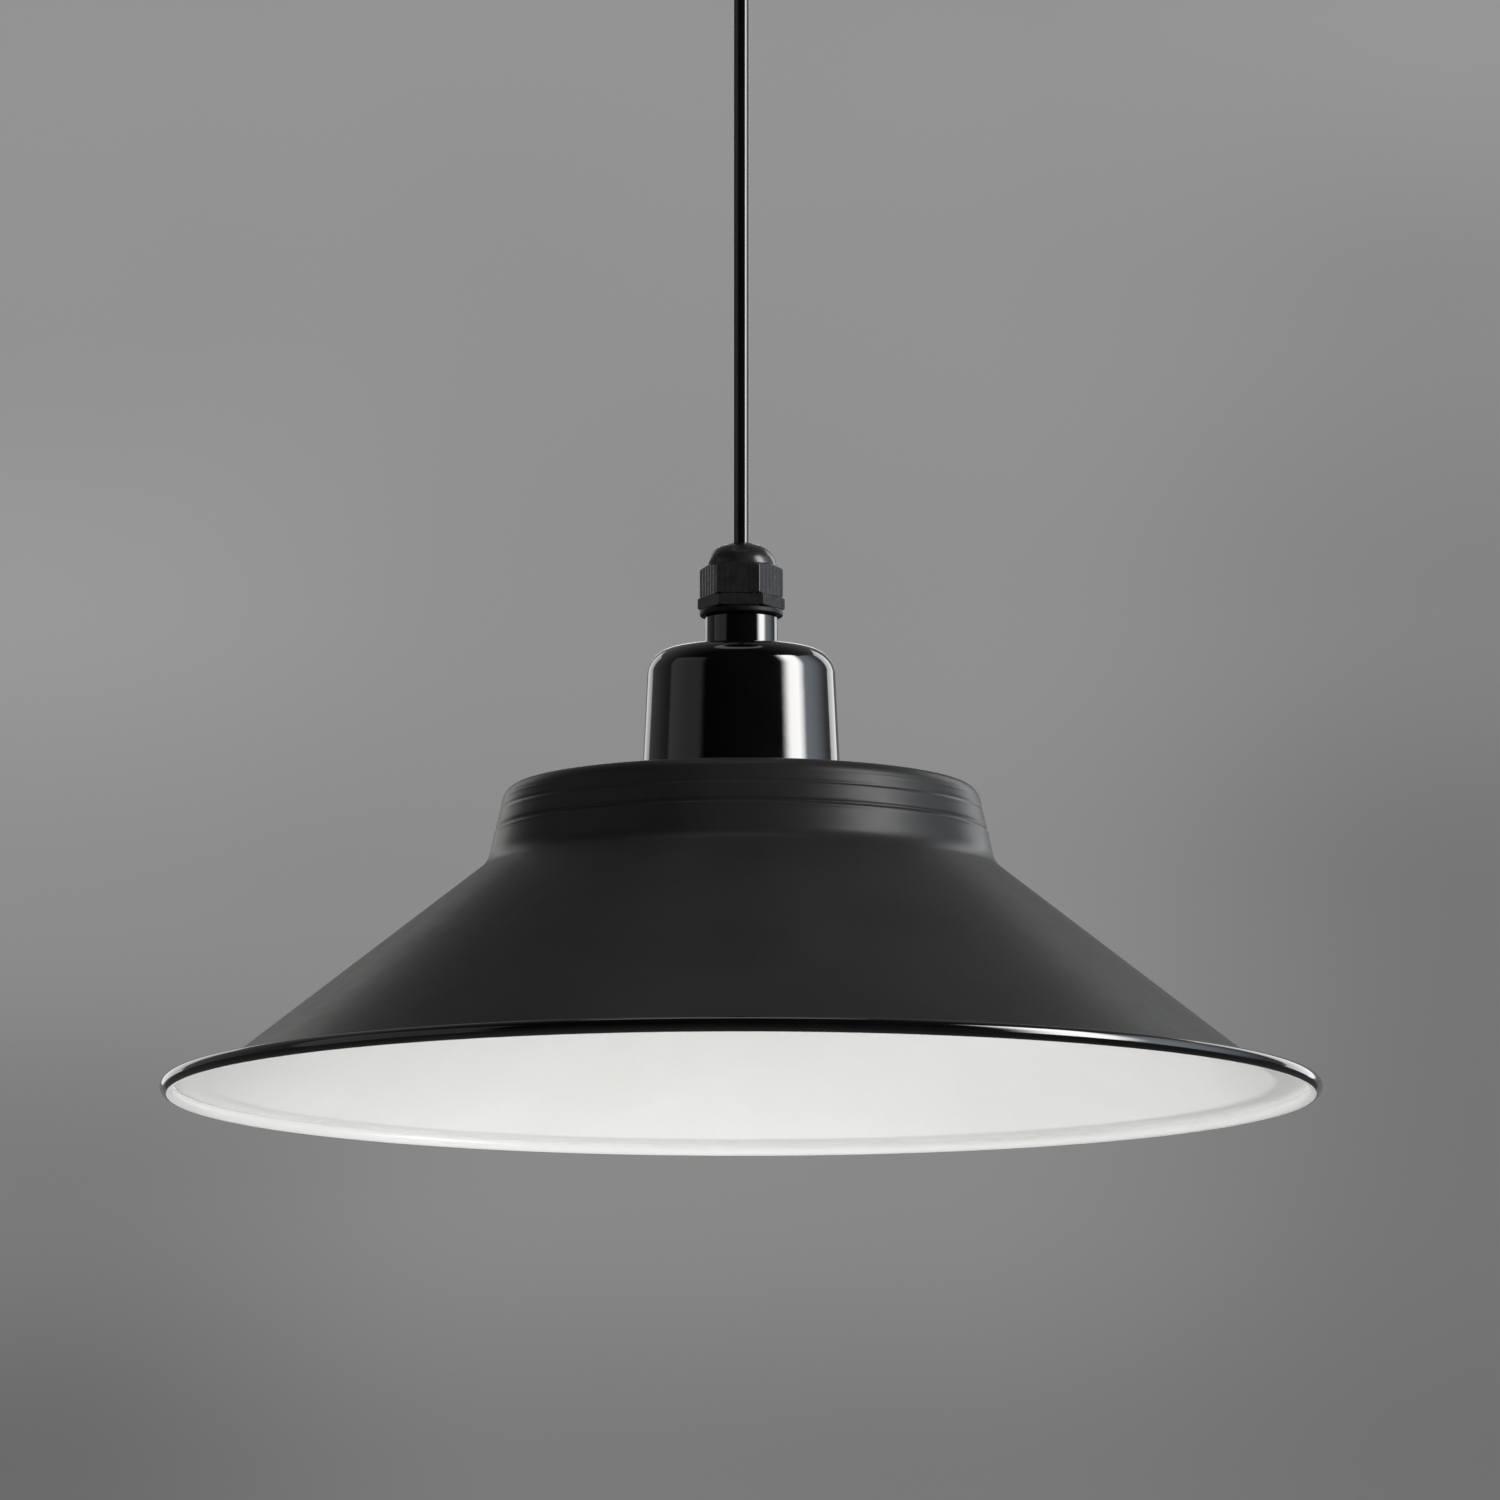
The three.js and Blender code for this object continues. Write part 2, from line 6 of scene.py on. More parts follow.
import bpy
import numpy as np
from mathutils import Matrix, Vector


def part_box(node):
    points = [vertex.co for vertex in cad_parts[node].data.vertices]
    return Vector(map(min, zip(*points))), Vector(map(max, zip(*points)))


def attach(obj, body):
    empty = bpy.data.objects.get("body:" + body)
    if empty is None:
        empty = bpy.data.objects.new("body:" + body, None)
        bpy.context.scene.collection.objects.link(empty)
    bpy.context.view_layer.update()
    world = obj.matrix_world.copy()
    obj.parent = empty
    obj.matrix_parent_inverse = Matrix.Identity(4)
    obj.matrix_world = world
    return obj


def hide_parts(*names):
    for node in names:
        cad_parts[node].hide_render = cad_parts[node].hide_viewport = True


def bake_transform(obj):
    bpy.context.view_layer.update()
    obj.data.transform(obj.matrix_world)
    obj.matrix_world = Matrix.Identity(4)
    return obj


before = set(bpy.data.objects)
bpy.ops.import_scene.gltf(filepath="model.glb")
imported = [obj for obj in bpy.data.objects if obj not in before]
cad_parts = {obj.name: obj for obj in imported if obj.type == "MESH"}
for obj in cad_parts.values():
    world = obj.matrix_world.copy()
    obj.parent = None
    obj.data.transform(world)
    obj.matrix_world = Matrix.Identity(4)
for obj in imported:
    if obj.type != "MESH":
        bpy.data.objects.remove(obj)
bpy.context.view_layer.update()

MM = 0.001
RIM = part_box("shade")[0].z / MM  # height of the shade's lowest edge, in mm from the ceiling
SMOOTH_ANGLE = 32.0
FINE = 256  # sides of the large turned pieces
MEDIUM = 128
SMALL = 64


# ---- camera ----
CAMERA_AT = (0.0027, -3.4, -0.765)
CAMERA_PITCH = 7.994
CAMERA_LENS = 265.0


def make_camera():
    data = bpy.data.cameras.new("camera")
    data.lens = CAMERA_LENS
    data.sensor_width = 36.0
    data.clip_start = 0.05
    data.clip_end = 200.0
    camera = bpy.data.objects.new("camera", data)
    camera.location = CAMERA_AT
    camera.rotation_euler = (math.radians(90.0 + CAMERA_PITCH), 0.0, 0.0)
    bpy.context.scene.collection.objects.link(camera)
    bpy.context.scene.camera = camera


make_camera()


# ---- meshes ----
def new_object(name, points, faces, material, uv=None):
    """One smooth-shaded mesh with edges over SMOOTH_ANGLE kept sharp."""
    mesh = bpy.data.meshes.new(name)
    mesh.from_pydata([tuple(p) for p in points], [], faces)
    mesh.validate()
    mesh.shade_smooth()
    mesh.set_sharp_from_angle(angle=math.radians(SMOOTH_ANGLE))
    if uv is not None:
        layer = mesh.uv_layers.new(name="UVMap")
        corners = np.empty(len(mesh.loops), dtype=np.int32)
        mesh.loops.foreach_get("vertex_index", corners)
        layer.data.foreach_set("uv", np.asarray(uv, dtype=np.float32)[corners].ravel())
    mesh.materials.append(material)
    piece = bpy.data.objects.new(name, mesh)
    bpy.context.scene.collection.objects.link(piece)
    return piece


def rounded(corners, closed=True, step=7.5):
    """Points from (r, z) or (r, z, fillet) corners. Fillets turn in chords of up to `step` degrees."""
    count = len(corners)
    points = []
    for i, corner in enumerate(corners):
        at = Vector(corner[:2])
        inner = closed or 0 < i < count - 1
        if len(corner) < 3 or not inner:
            points.append(at)
            continue
        back = (Vector(corners[i - 1][:2]) - at).normalized()
        on = (Vector(corners[(i + 1) % count][:2]) - at).normalized()
        half = back.angle(on) / 2
        bisector = (back + on).normalized()
        centre = at + bisector * (corner[2] / math.sin(half))
        start = at + back * (corner[2] / math.tan(half)) - centre
        turn = math.pi - 2 * half
        if start.x * on.y - start.y * on.x < 0:
            turn = -turn
        steps = max(2, math.ceil(abs(math.degrees(turn)) / step))
        for k in range(steps + 1):
            c, s = math.cos(turn * k / steps), math.sin(turn * k / steps)
            points.append(centre + Vector((c * start.x - s * start.y, s * start.x + c * start.y)))
    return points


def beside(outline, distance):
    """An open outline moved sideways, to the left of its direction."""
    moved = []
    for i, p in enumerate(outline):
        a = (p - outline[max(i - 1, 0)]) if i else (outline[1] - p)
        b = (outline[i + 1] - p) if i < len(outline) - 1 else a
        na = Vector((-a.y, a.x)).normalized()
        nb = Vector((-b.y, b.x)).normalized()
        mitre = (na + nb).normalized()
        moved.append(p + mitre * (distance / mitre.dot(nb)))
    return moved


def densified(outline, pitch, low, high):
    """The closed outline with long edges between heights low and high cut to `pitch` or less."""
    points = []
    for i, p in enumerate(outline):
        q = outline[(i + 1) % len(outline)]
        points.append(p)
        inside = min(p.y, q.y) >= low - 1e-6 and max(p.y, q.y) <= high + 1e-6
        cuts = math.ceil((q - p).length / pitch) if inside else 1
        points.extend(p.lerp(q, k / cuts) for k in range(1, cuts))
    return points


def lathe(name, outline, material, sides, base=0.0, shape=None):
    """A solid turned about the vertical axis, in mm. The outline runs up the outside and down the bore, or
    starts and ends on the axis. shape(radii, turns, height) may change the radii of a ring of points."""
    turns = np.linspace(0.0, 2 * math.pi, sides, endpoint=False)
    points, rings = [], []
    for r, z in outline:
        if r < 1e-6:
            rings.append([len(points)])
            points.append((0.0, 0.0, z + base))
            continue
        radii = shape(np.full(sides, r), turns, z) if shape else np.full(sides, r)
        rings.append(list(range(len(points), len(points) + sides)))
        points.extend(zip(radii * np.cos(turns), radii * np.sin(turns), np.full(sides, z + base)))
    on_axis = len(rings[0]) == 1
    pairs = list(zip(rings[:-1], rings[1:])) + ([] if on_axis else [(rings[-1], rings[0])])
    faces = []
    for a, b in pairs:
        for k in range(sides):
            n = (k + 1) % sides
            quad = [a[k % len(a)], a[n % len(a)], b[n % len(b)], b[k % len(b)]]
            face = list(dict.fromkeys(quad))
            if len(face) > 2:
                faces.append(face)
    return new_object(name, np.array(points) * MM, faces, material)


def tube_along(name, route, radius, material, sides):
    """A round cable along points in metres, closed at both ends. Its UVs run round it and along it."""
    route = [Vector(p) for p in route]
    last = len(route) - 1
    tangents = [(route[min(i + 1, last)] - route[max(i - 1, 0)]).normalized() for i in range(last + 1)]
    side = tangents[0].orthogonal().normalized()
    points, uv, length = [], [], 0.0
    for i, (p, t) in enumerate(zip(route, tangents)):
        side = (side - t * side.dot(t)).normalized()
        other = t.cross(side)
        length += (p - route[i - 1]).length if i else 0.0
        for k in range(sides):
            turn = 2 * math.pi * k / sides
            points.append(p + (side * math.cos(turn) + other * math.sin(turn)) * radius)
            uv.append((k / sides, length))
    faces = []
    for i in range(last):
        for k in range(sides):
            n = (k + 1) % sides
            faces.append([i * sides + k, i * sides + n, (i + 1) * sides + n, (i + 1) * sides + k])
    faces.append(list(range(sides - 1, -1, -1)))
    faces.append([last * sides + k for k in range(sides)])
    return new_object(name, points, faces, material, uv)


def smooth_route(points, steps):
    """A Catmull-Rom curve through points in mm, given back in metres."""
    p = [Vector(q) * MM for q in points]
    p = [p[0] * 2 - p[1]] + p + [p[-1] * 2 - p[-2]]
    route = []
    spans = len(p) - 3
    for i in range(spans):
        a, b, c, d = p[i:i + 4]
        for k in range(steps + (i == spans - 1)):
            t = k / steps
            route.append(0.5 * (2 * b + (c - a) * t + (2 * a - 5 * b + 4 * c - d) * t * t
                                + (3 * b - a - 3 * c + d) * t ** 3))
    return route


def carve(piece, cutters):
    """Cuts upright boxes given as (centre, size), in mm, out of a piece."""
    corners = [Vector((x, y, z)) for x in (-0.5, 0.5) for y in (-0.5, 0.5) for z in (-0.5, 0.5)]
    faces = [(0, 1, 3, 2), (4, 6, 7, 5), (0, 4, 5, 1), (2, 3, 7, 6), (0, 2, 6, 4), (1, 5, 7, 3)]
    for centre, size in cutters:
        points = [(Vector(centre) + corner * Vector(size)) * MM for corner in corners]
        box = new_object("cutter", points, faces, piece.data.materials[0])
        cut = piece.modifiers.new("cut", "BOOLEAN")
        cut.operation, cut.solver, cut.object = "DIFFERENCE", "EXACT", box
        bpy.context.view_layer.update()
        done = bpy.data.meshes.new_from_object(piece.evaluated_get(bpy.context.evaluated_depsgraph_get()))
        piece.modifiers.clear()
        piece.data = done
        bpy.data.objects.remove(box)
    piece.data.set_sharp_from_angle(angle=math.radians(SMOOTH_ANGLE))


def place(piece, body, node):
    """Puts a piece on a body, in place of its CAD node."""
    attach(piece, body)
    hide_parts(node)


# ---- materials ----
def mapped(tree, value, start, end, low, high):
    """The output of a node that takes start..end to low..high and stops there."""
    node = tree.nodes.new("ShaderNodeMapRange")
    tree.links.new(value, node.inputs["Value"])
    for socket, number in (("From Min", start), ("From Max", end), ("To Min", low), ("To Max", high)):
        node.inputs[socket].default_value = number
    return node.outputs["Result"]


class Finish:
    """A procedural material: a principled shader with grain, mottling and uneven gloss in object space."""

    def __init__(self, name, colour, roughness, metallic=0.0):
        self.material = bpy.data.materials.new(name)
        self.material.use_nodes = True
        self.tree = self.material.node_tree
        self.nodes = self.tree.nodes
        self.links = self.tree.links
        self.shader = self.nodes["Principled BSDF"]
        self.shader.inputs["Base Color"].default_value = (*colour, 1.0)
        self.shader.inputs["Roughness"].default_value = roughness
        self.shader.inputs["Metallic"].default_value = metallic
        self.colour = colour
        self.roughness = roughness
        self.space = self.nodes.new("ShaderNodeTexCoord").outputs["Object"]
        self.height = None

    def noise(self, scale, detail, roughness, stretch=None):
        node = self.nodes.new("ShaderNodeTexNoise")
        node.inputs["Scale"].default_value = scale
        node.inputs["Detail"].default_value = detail
        node.inputs["Roughness"].default_value = roughness
        source = self.space
        if stretch:
            mapping = self.nodes.new("ShaderNodeMapping")
            mapping.inputs["Scale"].default_value = stretch
            self.links.new(source, mapping.inputs["Vector"])
            source = mapping.outputs["Vector"]
        self.links.new(source, node.inputs["Vector"])
        return node.outputs["Fac"]

    def ranged(self, value, low, high, start=0.3, end=0.7):
        return mapped(self.tree, value, start, end, low, high)

    def uneven_gloss(self, scale, spread, stretch=None):
        value = self.noise(scale, 3.0, 0.6, stretch)
        result = self.ranged(value, self.roughness - spread, self.roughness + spread)
        self.links.new(result, self.shader.inputs["Roughness"])
        return self

    def mottle(self, scale, other, stretch=None):
        value = self.ranged(self.noise(scale, 4.0, 0.6, stretch), 0.0, 1.0, 0.35, 0.65)
        self.mix(value, other)
        return self

    def mix(self, factor, other):
        """Blends the base colour so far towards another colour."""
        node = self.nodes.new("ShaderNodeMix")
        node.data_type = "RGBA"
        socket = self.shader.inputs["Base Color"]
        if socket.is_linked:
            self.links.new(socket.links[0].from_socket, node.inputs["A"])
        else:
            node.inputs["A"].default_value = (*self.colour, 1.0)
        node.inputs["B"].default_value = (*other, 1.0)
        self.links.new(factor, node.inputs["Factor"])
        self.links.new(node.outputs["Result"], socket)
        return self

    def bump(self, height, depth):
        """Adds a bump of that depth in metres."""
        node = self.nodes.new("ShaderNodeBump")
        node.inputs["Strength"].default_value = 1.0
        node.inputs["Distance"].default_value = depth
        self.links.new(height, node.inputs["Height"])
        if self.height is not None:
            self.links.new(self.height, node.inputs["Normal"])
        self.height = node.outputs["Normal"]
        self.links.new(self.height, self.shader.inputs["Normal"])
        return self

    def grain(self, scale, depth, detail=2.0, stretch=None):
        return self.bump(self.noise(scale, detail, 0.55, stretch), depth)

    def settled_dust(self, colour, amount):
        """A trace of dust on faces that look up."""
        up = self.nodes.new("ShaderNodeNewGeometry").outputs["Normal"]
        split = self.nodes.new("ShaderNodeSeparateXYZ")
        self.links.new(up, split.inputs["Vector"])
        facing = self.ranged(split.outputs["Z"], 0.0, amount, 0.85, 1.0)
        patches = self.ranged(self.noise(60.0, 5.0, 0.65), 0.2, 1.0)
        product = self.nodes.new("ShaderNodeMath")
        product.operation = "MULTIPLY"
        self.links.new(facing, product.inputs[0])
        self.links.new(patches, product.inputs[1])
        return self.mix(product.outputs["Value"], colour)

    def set(self, **sockets):
        for name, value in sockets.items():
            self.shader.inputs[name.replace("_", " ")].default_value = value
        return self


def satin_black():
    finish = Finish("satin_black", (0.0068, 0.0068, 0.0071), 0.35)
    finish.mottle(35.0, (0.0084, 0.0084, 0.0087)).uneven_gloss(120.0, 0.025)
    finish.grain(2600.0, 0.000012).grain(420.0, 0.000014).set(Specular_IOR_Level=0.1)
    return finish.settled_dust((0.03, 0.029, 0.027), 0.06).material


def gloss_black():
    finish = Finish("gloss_black", (0.001, 0.001, 0.0012), 0.07)
    finish.mottle(50.0, (0.0016, 0.0016, 0.0018)).uneven_gloss(90.0, 0.02)
    return finish.grain(260.0, 0.000012).grain(1500.0, 0.0000012).material


def enamel_white():
    finish = Finish("enamel_white", (0.83, 0.83, 0.815), 0.34)
    finish.mottle(22.0, (0.8, 0.8, 0.782)).uneven_gloss(80.0, 0.05)
    return finish.grain(500.0, 0.00001).grain(1800.0, 0.000004).material


def nylon_black():
    finish = Finish("nylon_black", (0.0056, 0.0056, 0.0059), 0.24)
    finish.mottle(300.0, (0.0082, 0.0082, 0.0085)).uneven_gloss(400.0, 0.05)
    return finish.grain(3800.0, 0.000006).grain(900.0, 0.000006).set(Specular_IOR_Level=0.24).material


def rubber_black():
    finish = Finish("rubber_black", (0.0008, 0.0008, 0.0008), 0.5)
    finish.mottle(200.0, (0.0014, 0.0014, 0.0013)).uneven_gloss(500.0, 0.08)
    return finish.grain(2500.0, 0.00001).set(Specular_IOR_Level=0.12).material


def cord_black():
    finish = Finish("cord_black", (0.0013, 0.0013, 0.0014), 0.11)
    finish.mottle(90.0, (0.0022, 0.0022, 0.0023), (1.0, 1.0, 0.2)).uneven_gloss(260.0, 0.03, (1.0, 1.0, 0.25))
    finish.grain(900.0, 0.000003, 2.0, (1.0, 1.0, 0.12)).grain(3500.0, 0.0000005)
    return finish.set(Specular_IOR_Level=0.36).material


def bakelite_black():
    finish = Finish("bakelite_black", (0.009, 0.0085, 0.008), 0.24)
    finish.mottle(140.0, (0.016, 0.0145, 0.013)).uneven_gloss(180.0, 0.06)
    return finish.grain(700.0, 0.00001).material


def porcelain_white():
    finish = Finish("porcelain_white", (0.8, 0.785, 0.745), 0.16)
    finish.mottle(120.0, (0.76, 0.74, 0.69)).uneven_gloss(200.0, 0.05)
    return finish.grain(350.0, 0.00003).material


def zinc_steel():
    finish = Finish("zinc_steel", (0.62, 0.63, 0.64), 0.32, 1.0)
    finish.mottle(160.0, (0.5, 0.51, 0.53)).uneven_gloss(700.0, 0.09, (0.08, 1.0, 1.0))
    return finish.grain(3000.0, 0.000006, 3.0, (0.05, 1.0, 1.0)).material


def brass():
    finish = Finish("brass", (0.72, 0.5, 0.2), 0.3, 1.0)
    finish.mottle(220.0, (0.58, 0.37, 0.13)).uneven_gloss(600.0, 0.08)
    return finish.grain(1800.0, 0.000008).material


def opal_glass():
    finish = Finish("opal_glass", (0.86, 0.855, 0.83), 0.14)
    finish.mottle(60.0, (0.83, 0.82, 0.79)).uneven_gloss(90.0, 0.03)
    return finish.grain(180.0, 0.00001).set(Coat_Weight=0.4, Coat_Roughness=0.06).material


def bulb_cap_metal():
    finish = Finish("bulb_cap_metal", (0.76, 0.76, 0.75), 0.28, 1.0)
    finish.mottle(180.0, (0.62, 0.62, 0.62)).uneven_gloss(500.0, 0.08, (1.0, 1.0, 0.1))
    return finish.grain(1500.0, 0.00001).material


def glass_black():
    finish = Finish("glass_black", (0.006, 0.006, 0.009), 0.12)
    finish.mottle(200.0, (0.012, 0.011, 0.014)).uneven_gloss(200.0, 0.04)
    return finish.grain(400.0, 0.00001).material


def wire_insulation(name, colour, stripe=None):
    """Coloured insulation; a stripe covers part of the way round, from the UVs."""
    finish = Finish(name, colour, 0.34)
    finish.mottle(400.0, tuple(0.82 * c for c in colour)).uneven_gloss(500.0, 0.06)
    if stripe:
        split = finish.nodes.new("ShaderNodeSeparateXYZ")
        finish.links.new(finish.nodes.new("ShaderNodeUVMap").outputs["UV"], split.inputs["Vector"])
        finish.mix(finish.ranged(split.outputs["X"], 0.0, 1.0, 0.49, 0.51), stripe)
    return finish.grain(1500.0, 0.000008).material


LOOKS = {
    "satin_black": satin_black(),
    "gloss_black": gloss_black(),
    "enamel_white": enamel_white(),
    "nylon_black": nylon_black(),
    "rubber_black": rubber_black(),
    "cord_black": cord_black(),
    "bakelite_black": bakelite_black(),
    "porcelain_white": porcelain_white(),
    "zinc_steel": zinc_steel(),
    "brass": brass(),
    "opal_glass": opal_glass(),
    "bulb_cap_metal": bulb_cap_metal(),
    "glass_black": glass_black(),
    "wire_brown": wire_insulation("wire_brown", (0.12, 0.042, 0.014)),
    "wire_blue": wire_insulation("wire_blue", (0.02, 0.09, 0.38)),
    "wire_green_yellow": wire_insulation("wire_green_yellow", (0.09, 0.3, 0.03), (0.72, 0.58, 0.03)),
}


# ---- the cord ----
CORD_R = 2.5
CORD_SIDES = 48
CORD_STEPS = 60


def make_cord():
    low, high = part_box("cord")
    route = [(0.0, 0.0, low.z + (high.z - low.z) * k / CORD_STEPS) for k in range(CORD_STEPS + 1)]
    cord = tube_along("cord_cable", route, CORD_R * MM, LOOKS["cord_black"], CORD_SIDES)
    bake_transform(cord)
    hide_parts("cord")


make_cord()


# ---- the shade: one spun sheet, painted black outside and white inside ----
RIM_R = 180.0
BEAD_R = 2.3
BEAD = Vector((RIM_R - BEAD_R, BEAD_R))
BRIM_IN = (165.2, 4.7, 3.0)  # radius, height and fillet
CONE_TOP = (78.95, 72.1, 9.0)
CROWN_TOP = (73.3, 96.4, 5.0)
CROWN_HOLE_R = 19.8
SHEET = 1.0
GAP = 0.3  # clearance between pieces that touch
BLACK_SKIN = 0.7  # the part of the sheet's thickness that has the black finish
PAINT_STEP = 0.03
GLOSS_FROM_R = 168.0
WHITE_FROM = -84.0  # where the bead turns white, in degrees round it from its outer side
WHITE_TO = -210.0
BLACK_CORE_R = 0.9  # the bead's hollow in its black and white pieces
WHITE_CORE_R = 1.0
CROWN_RINGS = ((93.1, 0.24, 0.5), (88.9, 0.22, 0.5), (82.8, 0.5, 0.6))  # height, depth and half width
RING_CUT = 0.12  # height of the wall's bands across the rings


def bead_arc(start, end, radius=BEAD_R, steps=20):
    turns = [math.radians(start + (end - start) * k / steps) for k in range(steps + 1)]
    return [BEAD + Vector((math.cos(t), math.sin(t))) * radius for t in turns]


def sheet_outline():
    corners = [(BEAD.x, 2 * BEAD_R), BRIM_IN, CONE_TOP, CROWN_TOP, (CROWN_HOLE_R, CROWN_TOP[1])]
    return rounded(corners, closed=False, step=4.0)


def ring_depth(height):
    """How deep the crown's rings go at a height. Under each groove the sheet swells out a little."""
    depth = 0.0
    for z, groove, half in CROWN_RINGS:
        depth += groove * math.exp(-((height - z) / half) ** 2)
        depth -= 0.3 * groove * math.exp(-((height - z + 1.1) / (1.1 * half)) ** 2)
    return depth


def ringed(outline):
    """The outline with the three spun rings pressed into the crown's wall."""
    points = []
    for i, p in enumerate(outline):
        q = outline[min(i + 1, len(outline) - 1)]
        wall = p.y < q.y and q.x < CONE_TOP[0] and p.x > CROWN_TOP[0] - 2 and (q - p).length > 2
        if not wall:
            points.append(p)
            continue
        along = (q - p).normalized()
        inward = Vector((-along.y, along.x))
        cuts = math.ceil((q - p).length / RING_CUT)
        for k in range(cuts):
            at = p.lerp(q, k / cuts)
            points.append(at + inward * ring_depth(at.y))
    return points


def make_shade():
    outline = sheet_outline()
    split = next(i for i, p in enumerate(outline) if p.x < GLOSS_FROM_R)
    brim = (BEAD.x - GLOSS_FROM_R) / (BEAD.x - BRIM_IN[0])
    edge = Vector((GLOSS_FROM_R, 2 * BEAD_R + (BRIM_IN[1] - 2 * BEAD_R) * brim))
    outer = [edge] + outline[split:]
    body = ringed(outer) + beside(outer, BLACK_SKIN)[::-1]
    place(lathe("shade_outside", body, LOOKS["satin_black"], FINE, RIM), "lamp", "shade")

    under = [edge - Vector((0, BLACK_SKIN)), BEAD + Vector((0, BEAD_R - BLACK_SKIN))]
    core = bead_arc(90, WHITE_FROM, BLACK_CORE_R, 3)
    body = bead_arc(WHITE_FROM, 90) + [edge] + under + core
    place(lathe("shade_rim", body, LOOKS["gloss_black"], FINE, RIM), "lamp", "shade")

    middle = [p for p in beside(outline, BLACK_SKIN + PAINT_STEP) if p.x < BEAD.x - WHITE_CORE_R]
    inner = [p for p in beside(outline, SHEET) if p.x < BEAD.x - BEAD_R * 0.8]
    core = bead_arc(WHITE_FROM - 1, -180, WHITE_CORE_R, 6)
    closing = [Vector((BEAD.x - WHITE_CORE_R, middle[0].y))] + middle
    body = bead_arc(WHITE_TO, WHITE_FROM - 1, steps=16) + core + closing + inner[::-1]
    place(lathe("shade_inside", body, LOOKS["enamel_white"], FINE, RIM), "lamp", "shade")


make_shade()


# ---- the cap, the neck and the cable gland ----
CAP = {"foot_r": 31.0, "top_r": 28.9, "foot": CROWN_TOP[1] + GAP, "top": 139.8, "shoulder": 8.2}
STEM_R = 8.0
STEM_HOLE_R = 8.4
STEM_FOOT = 130.3
NECK = {"r": 11.3, "foot": CAP["top"] + GAP, "top": 150.0}
WASHER = {"r": 13.0, "foot": NECK["top"] + GAP, "top": 152.3}
FLANGE = {"corner": 13.7, "foot": WASHER["top"] + GAP, "top": 156.0, "turn": 30.0}
NUT = {"corner": 13.1, "foot": FLANGE["top"] + GAP, "top": 165.7, "turn": -4.5,
       "dome_r": 10.95, "crown": 172.8, "roof": 2.0}
NUT_SIDES = 720
FLANGE_SIDES = 360
NUT_THREAD_R = 9.0
GLAND_PITCH = 1.5
GLAND_THREAD_DEPTH = 0.18
CHAMFER_CUT = 0.15  # height of the bands across the chamfers and the gland's thread
DOME = ((0.0, 0.8), (0.2, 1.8), (0.6, 2.9), (1.15, 3.9), (1.9, 4.85),  # inset and rise up the nut's dome
        (2.8, 5.7), (3.9, 6.4), (5.1, 6.9), (6.2, 7.1))
CLAW = {"r": 7.4, "bore": 5.6, "foot": 162.0, "top": 166.2}
SEAL = {"r": 5.2, "foot": 158.0, "shoulder": 168.5, "lip_r": 3.8, "lip": 169.8, "bore": 2.8}


def make_cap():
    outer = rounded([
        (CAP["foot_r"], CAP["foot"]),
        (CAP["top_r"], CAP["top"], CAP["shoulder"]),
        (STEM_HOLE_R, CAP["top"]),
    ], closed=False, step=3.0)
    shell = outer + beside(outer, SHEET)[::-1]
    place(lathe("cap_shell", shell, LOOKS["gloss_black"], FINE, RIM), "lamp", "cap")


def make_neck():
    neck = rounded([
        (NECK["r"], NECK["foot"], 0.3),
        (NECK["r"], NECK["top"], 0.3),
        (STEM_HOLE_R, NECK["top"], 0.2),
        (STEM_HOLE_R, NECK["foot"], 0.2),
    ])
    place(lathe("neck_sleeve", neck, LOOKS["gloss_black"], FINE, RIM), "lamp", "neck")
    ring = rounded([
        (WASHER["r"], WASHER["foot"], 0.7),
        (WASHER["r"], WASHER["top"], 0.7),
        (STEM_HOLE_R, WASHER["top"]),
        (STEM_HOLE_R, WASHER["foot"]),
    ])
    washer = lathe("gland_washer_ring", ring, LOOKS["rubber_black"], MEDIUM, RIM)
    place(washer, "lamp", "gland_washer")


RIB_PITCH = 1.9
RIB_SPAN = 4.4  # the ribs' reach from the middle of each flat


def hexagon(corner, turn, low, high, round_r, rib=0.0):
    """Radius rule for lathe(): a hexagon with rounded corners between two heights, and ribs on its flats.
    turn is the direction of the middle of a flat, in degrees."""
    flat = corner * math.cos(math.radians(30))
    inner = (flat - round_r) / math.cos(math.radians(30))
    tangent = math.atan(inner * 0.5 / flat)

    def shape(radii, turns, height):
        if not low - 1e-6 <= height <= high + 1e-6:
            return radii
        away = np.mod(turns - math.radians(turn) + math.pi / 6, math.pi / 3) - math.pi / 6
        across = np.abs(away)
        limit = flat / np.cos(away)
        lean = np.cos(math.pi / 6 - across)
        corner_r = inner * lean + np.sqrt(np.maximum(round_r ** 2 - inner ** 2 + (inner * lean) ** 2, 0.0))
        limit = np.where(across > tangent, corner_r, limit)
        if rib:
            along = flat * np.tan(away)
            wave = np.maximum(np.cos(2 * math.pi * along / RIB_PITCH), 0.0) ** 3
            limit = limit + rib * wave * (np.abs(along) < RIB_SPAN)
        return np.minimum(radii, limit)

    return shape


def nut_outside():
    """An outline wider than the corners, so that its sloping ends leave curved chamfers on the hexagon. It
    comes with the lowest and highest points of both chamfers."""
    over, foot, top, dome_r = NUT["corner"] + 0.5, NUT["foot"], NUT["top"], NUT["dome_r"]
    foot_chamfer, top_chamfer = 0.7, 0.9
    outside = [
        (NUT_THREAD_R + 2.0, foot),
        (over - 1.2, foot),
        (over, foot + foot_chamfer),
        (over, top - top_chamfer),
        (dome_r + 0.35, top + 0.1),
        (dome_r + 0.02, top + 0.4),
    ]
    outside += [(dome_r - inset, top + rise) for inset, rise in DOME]
    return outside, (foot, foot + foot_chamfer), (top - top_chamfer, top + 0.3)


